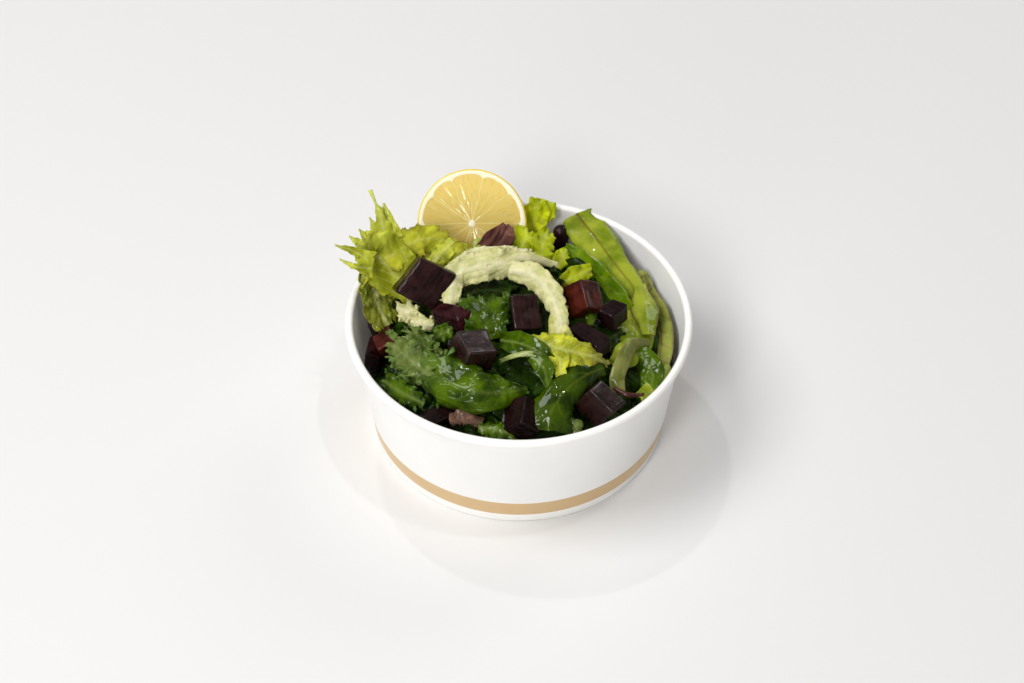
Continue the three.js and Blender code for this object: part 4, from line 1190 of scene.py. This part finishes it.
@dataclass
class LeafHeap:
    """The leaves of the salad, over a core of pressed leaves with scraps on it, both dark as painted shade in
    the gaps between the leaves.
    """

    node: str = "leaf_heap"
    slot: str = "salad_leaves"
    core_edge: float = 38.0
    core_top: float = 64.0
    core_fullness: float = 2.5
    core_rings: int = 40
    core_sides: int = 160
    core_middle: tuple[float, float] = (-3.0, 0.0)
    core_dips: tuple[Point, ...] = ((188, 48, 11), (42, 26, 6))  # direction, width, depth
    core_gap: float = 1.2  # from the cup's wall
    core_lift: float = 0.4  # from the cup's floor
    scrap_count: int = 150  # aimed at over the dome; more come, as some also land down the core's side
    scrap_seed: int = 5
    scrap_least_height: float = 36.0  # read at the corners of the core's faces
    scrap_reach: float = 62.0  # radius of the dome
    scrap_dome: float = 1.3  # the dome's area beside that of its flat circle
    finishes: dict[str, bpy.types.Material] = field(default_factory=dict)

    def finish(self, finish: LeafFinish) -> bpy.types.Material:
        """The material of a finish, made once."""
        if finish.name not in self.finishes:
            self.finishes[finish.name] = finish.material()
        return self.finishes[finish.name]

    def build(self) -> None:
        """Builds the core, the scraps on it and every leaf that shows."""
        core = self.core()
        scraps = self.scraps(core)
        for piece in (core, scraps):
            settle(piece, self.slot, self.node)
        for leaf in LEAVES:
            points, triangles, uv, masks = LeafBlade(leaf).build()
            piece = make_piece("leaf_" + leaf.name, points, triangles, self.finish(leaf.finish), uv, masks)
            settle(piece, self.slot, self.node)

    def core(self) -> bpy.types.Object:
        """The closed lumpy mass under the leaves, from the cup's floor to the dome."""
        angles = np.arange(self.core_sides) * 2 * math.pi / self.core_sides
        edge = np.full(self.core_sides, self.core_edge)
        for at, width, depth in self.core_dips:
            spread = math.cos(math.radians(width))
            edge -= depth * np.maximum(0, (np.cos(angles - math.radians(at)) - spread) / (1 - spread))
        wall = PaperCup()
        rings = []
        for ring in range(self.core_rings):
            share = 1 - ring / self.core_rings
            radius = (wall.inner(edge) - self.core_gap) * share
            x = radius * np.cos(angles) + self.core_middle[0] * (1 - share)
            y = radius * np.sin(angles) + self.core_middle[1] * (1 - share)
            z = edge * share**self.core_fullness + self.core_top * (1 - share**self.core_fullness)
            rings.append(np.stack([x, y, z], axis=1))
        low = wall.inner(np.full(self.core_sides, wall.floor)) - self.core_gap
        level = wall.floor + self.core_lift
        foot = [low * np.cos(angles), low * np.sin(angles), np.full(self.core_sides, level)]
        rings.insert(0, np.stack(foot, axis=1))
        points = np.vstack([*rings, [[0, 0, level]], [[*self.core_middle, self.core_top]]])
        lumps = smooth_noise(points, 9, 2) * 1.6 + smooth_noise(points, 3.5, 3) * 0.8
        free = np.clip((points[:, 2] - 30) / 6, 0, 1)
        points[:, 2] += lumps * free
        triangles = ring_triangles(len(rings), self.core_sides)
        masks = {name: np.zeros(len(points)) for name in ("crease", "vein", "edge", "under", "rib", "far")}
        uv = points[:, :2] / 10
        # Its dark kale finish is painted shade, seen in the gaps between the leaves.
        return make_piece("salad_core", points, triangles, self.finish(KALE_PAINTED_SHADE), uv, masks)

    def scraps(self, core: bpy.types.Object) -> bpy.types.Object:
        """Small torn leaves that cover the core where no large leaf lies, coloured dark as painted shade.

        Args:
            core: mesh object on which they lie.

        Returns:
            One mesh object with all scraps.
        """
        kinds = bpy.data.collections.new("scrap_kinds")
        for number, relief in enumerate((CURLY, SOFT, FRISEE)):
            coarse = replace(relief, cell=1.2, frill=1.4, thickness=0.6)
            leaf = Leaf(
                f"scrap_{number}", KALE_SCRAPS_PAINTED_SHADE, coarse, ((-10, 0, 0), (0, 1, 1.5), (10, 0, 0)), (3, 7, 4),
                (0, 0, 1), curl=(-0.3, 0.2), ruffle=1, waves=2, seed=60 + number,
            )
            points, triangles, uv, masks = LeafBlade(leaf).build()
            source = make_piece(leaf.name, points - AXIS / MM, triangles, self.finish(leaf.finish), uv, masks)
            bpy.context.scene.collection.objects.unlink(source)
            kinds.objects.link(source)
        tree = bpy.data.node_groups.new("scatter_scraps", "GeometryNodeTree")
        sockets = {
            "Geometry": "NodeSocketGeometry", "Density": "NodeSocketFloat", "Least Height": "NodeSocketFloat",
            "Seed": "NodeSocketInt", "Kinds": "NodeSocketCollection", "Finish": "NodeSocketMaterial",
        }
        for name, kind in sockets.items():
            tree.interface.new_socket(name, in_out="INPUT", socket_type=kind)
        tree.interface.new_socket("Geometry", in_out="OUTPUT", socket_type="NodeSocketGeometry")
        given = add_node(tree, "NodeGroupInput").outputs
        place = add_node(tree, "GeometryNodeInputPosition")
        height = add_node(tree, "ShaderNodeSeparateXYZ", links={0: place.outputs[0]})
        upper = add_node(
            tree, "FunctionNodeCompare", {"operation": "GREATER_THAN"},
            links={0: height.outputs["Z"], 1: given["Least Height"]},
        )
        spread = add_node(
            tree, "GeometryNodeDistributePointsOnFaces",
            links={
                "Mesh": given["Geometry"], "Selection": upper.outputs[0], "Density": given["Density"],
                "Seed": given["Seed"],
            },
        )
        pool = add_node(
            tree, "GeometryNodeCollectionInfo", values={"Separate Children": True, "Reset Children": True},
            links={"Collection": given["Kinds"]},
        )
        turn = add_node(
            tree, "FunctionNodeRandomValue", {"data_type": "FLOAT_VECTOR"},
            {0: (-0.25, -0.25, 0.0), 1: (0.25, 0.25, 6.28)}, {"Seed": given["Seed"]},
        )
        rotate = add_node(
            tree, "FunctionNodeRotateRotation", {"rotation_space": "LOCAL"},
            links={0: spread.outputs["Rotation"], 1: turn.outputs[0]},
        )
        scale = add_node(
            tree, "FunctionNodeRandomValue", {"data_type": "FLOAT"}, {2: 0.6, 3: 1.15},
            {"Seed": given["Seed"]},
        )
        placed = add_node(
            tree, "GeometryNodeInstanceOnPoints", values={"Pick Instance": True},
            links={
                "Points": spread.outputs["Points"], "Instance": pool.outputs[0],
                "Rotation": rotate.outputs[0], "Scale": scale.outputs[1],
            },
        )
        real = add_node(tree, "GeometryNodeRealizeInstances", links={0: placed.outputs[0]})
        dressed = add_node(
            tree, "GeometryNodeSetMaterial", links={"Geometry": real.outputs[0], "Material": given["Finish"]}
        )
        add_node(tree, "NodeGroupOutput", links={0: dressed.outputs[0]})
        items = tree.interface.items_tree
        identifiers = {item.name: item.identifier for item in items if item.in_out == "INPUT"}
        holder = bpy.data.objects.new("scrap_holder", core.data)
        bpy.context.scene.collection.objects.link(holder)
        modifier = holder.modifiers.new("scraps", "NODES")
        modifier.node_group = tree
        area = math.pi * (self.scrap_reach * MM) ** 2 * self.scrap_dome
        given_values = {
            "Density": self.scrap_count / area, "Least Height": self.scrap_least_height * MM,
            "Seed": self.scrap_seed, "Kinds": kinds, "Finish": self.finish(KALE_SCRAPS_PAINTED_SHADE),
        }
        for name, value in given_values.items():
            modifier[identifiers[name]] = value
        depsgraph = bpy.context.evaluated_depsgraph_get()
        mesh = bpy.data.meshes.new_from_object(
            holder.evaluated_get(depsgraph), preserve_all_data_layers=True, depsgraph=depsgraph
        )
        bpy.data.objects.remove(holder)
        for source in list(kinds.objects):
            bpy.data.objects.remove(source)
        bpy.data.collections.remove(kinds)
        mesh.name = "leaf_scraps"
        coordinates = np.empty(len(mesh.vertices) * 3, np.float32)
        mesh.vertices.foreach_get("co", coordinates)
        pressed = press_inside((coordinates.reshape(-1, 3) - AXIS) / MM)
        mesh.vertices.foreach_set("co", to_frame(pressed).astype(np.float32).ravel())
        piece = bpy.data.objects.new("leaf_scraps", mesh)
        bpy.context.scene.collection.objects.link(piece)
        return piece


# ---------------------------------------------------------------------------------------- cup
@dataclass
class PaperCup:
    """A round paper cup with a rolled rim and a recessed bottom, in mm."""

    rim_diameter: float = 150.0
    base_diameter: float = 128.0
    height: float = 61.0
    roll_diameter: float = 3.5
    wall: float = 0.8
    foot_height: float = 6.0
    foot_width: float = 1.5
    foot_bevel: float = 0.3
    disc_corner: float = 1.2
    floor_round: float = 2.0
    seam_angle: float = 118.0
    seam_width: float = 9.0
    seam_step: float = 0.3
    seam_rise: float = 0.4
    seam_fade: float = 4.0
    sides: int = 288
    node: str = "cup"
    slot: str = "cup_paper"

    @property
    def floor(self) -> float:
        """Height of the bottom disc's upper face."""
        return self.foot_height + self.wall

    @property
    def roll_radius(self) -> float:
        """Radius of the rolled rim's section."""
        return self.roll_diameter / 2

    @property
    def roll_middle(self) -> tuple[float, float]:
        """Radius and height of the middle of the rolled rim."""
        return self.rim_diameter / 2 - self.roll_radius, self.height - self.roll_radius

    def outer(self, height: np.ndarray | float) -> np.ndarray | float:
        """Radius of the wall's outer face at a height."""
        top = self.roll_middle[0] - self.roll_radius + self.wall
        return self.base_diameter / 2 + (top - self.base_diameter / 2) * height / self.roll_middle[1]

    def inner(self, height: np.ndarray | float) -> np.ndarray | float:
        """Radius of the wall's inner face at a height."""
        return self.outer(height) - self.wall

    def profile(self) -> np.ndarray:
        """The section from under the middle, round the foot and the rim, to above the middle."""
        foot = self.base_diameter / 2
        inside, bevel, corner = foot - self.foot_width, self.foot_bevel, self.disc_corner
        points = [(0, self.foot_height), (30, self.foot_height), (inside - corner, self.foot_height)]
        points += [(inside, self.foot_height - corner), (inside, bevel)]
        points += [(inside + bevel, 0), (foot - bevel, 0), (foot, bevel)]
        points += [(self.outer(z), z) for z in np.linspace(1.0, self.height - 4.6, 40)]
        middle, level = self.roll_middle
        roll, curve, low = self.roll_radius, self.floor_round, self.inner(self.floor)
        for angle in np.linspace(-2.55, math.pi, 30):
            points.append((middle + roll * math.cos(angle), level + roll * math.sin(angle)))
        points += [(self.inner(z), z) for z in np.linspace(level - 1.0, self.floor + curve, 30)]
        for angle in np.linspace(0.2, math.pi / 2, 6):
            inwards, upwards = curve * math.cos(angle), curve * math.sin(angle)
            points.append((low - curve + inwards, self.floor + curve - upwards))
        points += [(40, self.floor), (0, self.floor)]
        return np.array(points)

    def build(self) -> None:
        """Builds the cup with the overlap of its side seam, and dresses it."""
        points, triangles = lathe(self.profile(), self.sides)
        radius = np.hypot(points[:, 0], points[:, 1])
        angle = np.degrees(np.arctan2(points[:, 1], points[:, 0]))
        apart = (angle - self.seam_angle + 180) % 360 - 180
        outside = (radius > self.outer(points[:, 2]) - 0.1) & (points[:, 2] < self.height - 4)
        across = np.radians(apart) * radius
        half = self.seam_width / 2
        rise = np.clip((across + half) / self.seam_rise, 0, 1)
        step = rise * np.clip((half - across) / self.seam_fade, 0, 1)
        grown = 1 + np.where(outside, self.seam_step * step / np.maximum(radius, 1), 0)
        points[:, :2] *= grown[:, None]
        masks = {"printed": outside.astype(float)}
        cup = make_piece("paper_cup", points, triangles, PaperFinish().material(), attributes=masks)
        settle(cup, self.slot, self.node)


# -------------------------------------------------------------------------------------- lemon
@dataclass
class LemonSlice:
    """A round slice of lemon that leans at the back rim, in mm."""

    middle: Point = (-20.7, 54.8, 64.5)
    lean: float = 45.0
    diameter: float = 48.5
    thickness: float = 5.0
    rind: float = 0.8
    pith: float = 1.6
    step: float = 0.2
    segments: int = 10
    core_radius: float = 1.7
    bevel: float = 1.0
    face_rings: int = 74
    membrane: float = 0.12
    sides: int = 288
    seed: int = 4
    node: str = "lemon_slice"
    slot: str = "lemon"

    def build(self) -> None:
        """Builds the slice with its pulp, membranes, pith and rind."""
        outer = self.diameter / 2
        half = self.thickness / 2
        faces = np.linspace(0, outer - self.bevel, self.face_rings)
        turns = np.linspace(0.15, math.pi / 2, 5)
        corner = [(outer - self.bevel + math.sin(a), half - self.bevel + math.cos(a)) for a in turns]
        upper = [(r, half) for r in faces] + corner
        lower = [(r, -z) for r, z in upper]
        points, triangles = lathe(np.array([*lower, *upper[::-1]]), self.sides)
        radius = np.hypot(points[:, 0], points[:, 1])
        angle = np.arctan2(points[:, 1], points[:, 0])
        masks = self.masks(radius, angle, points)
        self.shape(points, radius, angle, masks)
        turned = points @ rotation((self.lean, 0, 0)).T + np.array(self.middle)
        sacs = np.stack([angle * 13, radius / 5.0], axis=1)
        piece = make_piece("lemon_slice_cut", turned, triangles, LemonFinish().material(), sacs, masks)
        settle(piece, self.slot, self.node)

    def masks(self, radius: np.ndarray, angle: np.ndarray, points: np.ndarray) -> dict[str, np.ndarray]:
        """Works out where the slice is membrane, pith and rind.

        Args:
            radius: distance of each point from the slice's middle.
            angle: direction of each point, in radians.
            points: the points of the flat slice.

        Returns:
            A mask from 0 to 1 for each of the three.
        """
        draw = np.random.default_rng(self.seed)
        widths = 1 + 0.35 * draw.random(self.segments)
        starts = np.cumsum(widths) / widths.sum() * 2 * math.pi
        bow = 0.03 * smooth_noise(points, 6, 8)
        turned = (angle[:, None] + bow[:, None] - starts + math.pi) % (2 * math.pi) - math.pi
        apart = np.min(np.abs(turned), axis=1)
        across = apart * radius
        outer = self.diameter / 2
        flesh = outer - self.rind - self.pith
        corner = flesh - 1.4 * np.exp(-across / 1.4)
        pith = np.clip((radius - corner) / 0.5, 0, 1)
        centre = np.clip((self.core_radius + 0.5 * smooth_noise(points, 2, 9) - radius) / 0.6, 0, 1)
        membrane = np.clip(1 - (across - self.membrane) / 0.4, 0, 1) * 0.35
        rind = np.clip((radius - (outer - self.rind)) / 0.25, 0, 1)
        return {"membrane": membrane, "pith": np.maximum(pith, centre), "rind": rind}

    def shape(
        self, points: np.ndarray, radius: np.ndarray, angle: np.ndarray, masks: dict[str, np.ndarray]
    ) -> None:
        """Lowers the pulp below the pith and raises its juice sacs, in place.

        Args:
            points: points of the flat slice.
            radius: distance of each point from the middle.
            angle: direction of each point, in radians.
            masks: the slice's masks by name.
        """
        face = np.sign(points[:, 2]) * (radius < self.diameter / 2 - 1.2)
        firm = np.maximum(masks["pith"], masks["membrane"] * 0.7)
        sacs = smooth_noise(np.stack([angle * 11, radius / 4.5, np.sign(points[:, 2])], axis=1), 1.0, 12)
        sink = -self.step * (1 - firm) + 0.07 * sacs * (1 - firm)
        points[:, 2] += face * sink
        skin = np.clip((radius - (self.diameter / 2 - 0.6)) / 0.6, 0, 1)
        pores = 1 + 0.0025 * skin * smooth_noise(points, 1.4, 13)
        points[:, :2] *= pores[:, None]


# --------------------------------------------------------------------------------------- beet
@dataclass(frozen=True)
class BeetPiece:
    """A hand-cut block of cooked beetroot: middle, size and turn as in the solids, in mm."""

    name: str
    finish: BeetFinish
    at: Point
    size: Point
    turn: Point
    seed: int
    skew: float = 0.05
    shear: float = 0.0
    rounding: float = 0.8
    uneven: float = 0.75  # how rough the cut faces are
    steps: int = 24

    def build(self, material: bpy.types.Material) -> None:
        """Builds the block with soft edges and uneven cut faces.

        Args:
            material: finish of the piece.
        """
        faces, triangles, uv = [], [], []
        line = np.linspace(-1, 1, self.steps + 1)
        half = np.array(self.size) / 2
        a, b = np.meshgrid(line, line, indexing="ij")
        at = np.arange((self.steps + 1) ** 2).reshape(self.steps + 1, self.steps + 1)
        corners = [at[:-1, :-1].ravel(), at[1:, :-1].ravel(), at[1:, 1:].ravel(), at[:-1, 1:].ravel()]
        for axis in range(3):
            for sign in (-1, 1):
                face = np.empty((a.size, 3))
                first, second = (axis + 1) % 3, (axis + 2) % 3
                face[:, axis], face[:, first], face[:, second] = sign, a.ravel(), b.ravel()
                order = corners if sign > 0 else corners[::-1]
                start = len(faces) * a.size
                halves = (order[:3], [order[0], order[2], order[3]])
                triangles += [np.stack(part, 1) + start for part in halves]
                flat = np.stack([a.ravel() * half[first], b.ravel() * half[second]], 1)
                uv.append(flat / 10 + axis + self.seed)
                faces.append(face * half)
        points = self.shape(np.vstack(faces), half)
        place = points @ rotation(self.turn).T + np.array(self.at)
        joined, numbers = self.weld(place, np.vstack(triangles))
        keep = np.zeros(len(joined), int)
        keep[numbers] = np.arange(len(place))
        welded = numbers[np.vstack(triangles)]
        piece = make_piece(self.name + "_cut", joined, welded, material, np.vstack(uv)[keep])
        settle(piece, "beetroot", self.name)

    def shape(self, points: np.ndarray, half: np.ndarray) -> np.ndarray:
        """Rounds the edges, skews the block and makes its faces uneven."""
        inner = np.clip(points, -(half - self.rounding), half - self.rounding)
        rounded = inner + unit(points - inner) * self.rounding
        rounded *= (1 + self.skew * np.prod(rounded / half, axis=1))[:, None]
        rounded[:, 0] += self.shear * rounded[:, 2]
        rough = min(1.0, 2 * float(np.min(half)) / 12)
        uneven = smooth_noise(rounded, 7, self.seed) * 0.9 + smooth_noise(rounded, 2.4, self.seed + 5) * 0.2
        uneven = (uneven + smooth_noise(rounded, 1.1, self.seed + 9) * 0.07) * rough * self.uneven
        return rounded + unit(rounded / half) * uneven[:, None]

    def weld(self, points: np.ndarray, triangles: np.ndarray) -> tuple[np.ndarray, np.ndarray]:
        """Joins the vertices that two faces share.

        Args:
            points: vertices of the six faces.
            triangles: triangles over those vertices; not used.

        Returns:
            The vertices without doubles, and the new number of each old vertex.
        """
        _, first, numbers = np.unique(np.round(points, 4), axis=0, return_index=True, return_inverse=True)
        return points[first], numbers.ravel()


BEETS: tuple[BeetPiece, ...] = (
    BeetPiece("beet_big", BEET_DARK, (-40.5, 11, 71), (18.5, 11, 18.5), (-40, 26, 12),
              1, shear=0.2, rounding=1.4),
    BeetPiece("beet_centre", BEET_MOIST, (-19, -31, 71.5), (14.5, 14, 11), (-6, 18, 25), 2),
    BeetPiece("beet_block", BEET_DARK, (2.5, -8, 71), (11.5, 11, 15), (-50, -6, 6), 3),
    BeetPiece("beet_right_red", BEET_RED, (28, 2.5, 68.3), (11, 12, 14.5), (-68, -12, -42), 4),
    BeetPiece("beet_right_small", BEET_INK, (40.5, -3, 65), (8, 10, 8.5), (-4, -6, -42), 5),
    BeetPiece("beet_stick", BEET_INK, (30, -18.5, 65.5), (19, 8, 7), (-4, -8, -50), 6),
    BeetPiece("beet_front_right", BEET_MOIST, (33.5, -48, 57), (14, 9, 15), (15, 30, -35), 7),
    BeetPiece("beet_front", BEET_INK, (2, -54.5, 55), (12, 12, 14), (-76, 8, -46), 8),
    BeetPiece("beet_long", BEET_WINE, (-28.5, -9, 69.5), (17, 9, 8), (-15, -10, -40),
              9, rounding=2.0, uneven=0.6),
    BeetPiece("beet_left_back", BEET_DARK, (-60.5, 14, 42), (9, 10, 11), (10, 10, 20), 10),
    BeetPiece("beet_left_wall", BEET_WINE, (-63, -1, 38.5), (7, 12, 11), (5, 8, -8), 11),
    BeetPiece("beet_left_red", BEET_RED, (-57, -4, 48.5), (9, 9, 9), (12, -20, 25), 12),
    BeetPiece("beet_front_left", BEET_PAINTED_SHADE, (-34.5, -50, 48.5), (15, 8, 12), (10, 6, 35), 13),
    BeetPiece("beet_back", BEET_DARK, (19, 57.5, 53.5), (7.2, 7, 12), (-15, 0, 8),
              14, rounding=3.4, uneven=0.4),
)


@dataclass
class BeetDice:
    """All the pieces of beetroot."""

    pieces: tuple[BeetPiece, ...] = BEETS

    def build(self) -> None:
        """Builds every piece with its finish, made once for each tone."""
        materials: dict[str, bpy.types.Material] = {}
        for piece in self.pieces:
            if piece.finish.name not in materials:
                materials[piece.finish.name] = piece.finish.material()
            piece.build(materials[piece.finish.name])


# ------------------------------------------------------------------------------------- studio
@dataclass
class Studio:
    """Pale floor, soft light from the upper left, and the camera at the photograph's angle."""

    target: Point = (-2.97, 0.0, 45.443)
    distance: float = 1201.1
    elevation: float = 45.30
    lens: float = 96.96
    sensor: float = 36.0
    floor_half: float = 3.0
    floor_colour: str = "#e2e1e0"
    sky: float = 0.22
    lights: tuple[tuple[str, Point, float, float], ...] = (
        ("key_softbox", (-1050.0, -200.0, 1750.0), 0.9, 22.2),
        ("front_softbox", (-820.0, -2260.0, 340.0), 0.8, 12.7),
        ("front_high_softbox", (-620.0, -1480.0, 1360.0), 0.5, 15.4),
        ("back_softbox", (1120.0, 1200.0, 1280.0), 0.8, 6.8),
        ("glint_lamp_back", (-400.0, 760.0, 1600.0), 0.06, 2.8),
        ("glint_lamp_top", (360.0, -120.0, 1800.0), 0.06, 2.8),
    )

    def build(self) -> None:
        """Builds the floor, the lights and the camera."""
        self.floor()
        for name, place, size, watts in self.lights:
            self.light(name, place, size, watts)
        scene = bpy.context.scene
        world = bpy.data.worlds.new("studio")
        world.use_nodes = True
        background = world.node_tree.nodes["Background"]
        background.inputs["Color"].default_value = linear("#fbfaf8")
        background.inputs["Strength"].default_value = self.sky
        scene.world = world
        scene.view_settings.view_transform = "Standard"
        target = Vector(to_frame(np.array(self.target)))
        tilt = math.radians(self.elevation)
        away = Vector((0, -math.cos(tilt), math.sin(tilt))) * self.distance * MM
        lens = bpy.data.cameras.new("camera")
        lens.lens, lens.sensor_width, lens.clip_end = self.lens, self.sensor, 20
        camera = bpy.data.objects.new("camera", lens)
        camera.location = target + away
        camera.rotation_euler = (-away).to_track_quat("-Z", "Y").to_euler()
        scene.collection.objects.link(camera)
        scene.camera = camera

    def light(self, name: str, place: Point, size: float, watts: float) -> None:
        """Adds a square light panel that faces the salad.

        Args:
            name: object's name.
            place: middle of the panel in mm.
            size: side of the panel in metres.
            watts: power.
        """
        lamp = bpy.data.lights.new(name, "AREA")
        lamp.energy, lamp.size = watts, size
        panel = bpy.data.objects.new(name, lamp)
        panel.location = to_frame(np.array(place))
        panel.rotation_euler = (Vector((0, 0, 0.04)) - panel.location).to_track_quat("-Z", "Y").to_euler()
        bpy.context.scene.collection.objects.link(panel)

    def floor(self) -> None:
        """Adds the pale matte floor."""
        material = bpy.data.materials.new("studio_paper")
        material.use_nodes = True
        shader = material.node_tree.nodes["Principled BSDF"]
        shader.inputs["Base Color"].default_value = linear(self.floor_colour)
        shader.inputs["Roughness"].default_value = 0.7
        shader.inputs["Specular IOR Level"].default_value = 0.2
        s = self.floor_half / MM
        corners = np.array([(-s, -s, 0), (s, -s, 0), (s, s, 0), (-s, s, 0)], float)
        floor = make_piece("floor", corners, np.array([(0, 1, 2), (0, 2, 3)]), material)


def main() -> None:
    """Builds the salad in its cup and the studio round it."""
    logging.basicConfig(level=logging.INFO, format="%(name)s: %(message)s")
    PaperCup().build()
    LemonSlice().build()
    BeetDice().build()
    LeafHeap().build()
    Studio().build()


if __name__ == "__main__":
    main()
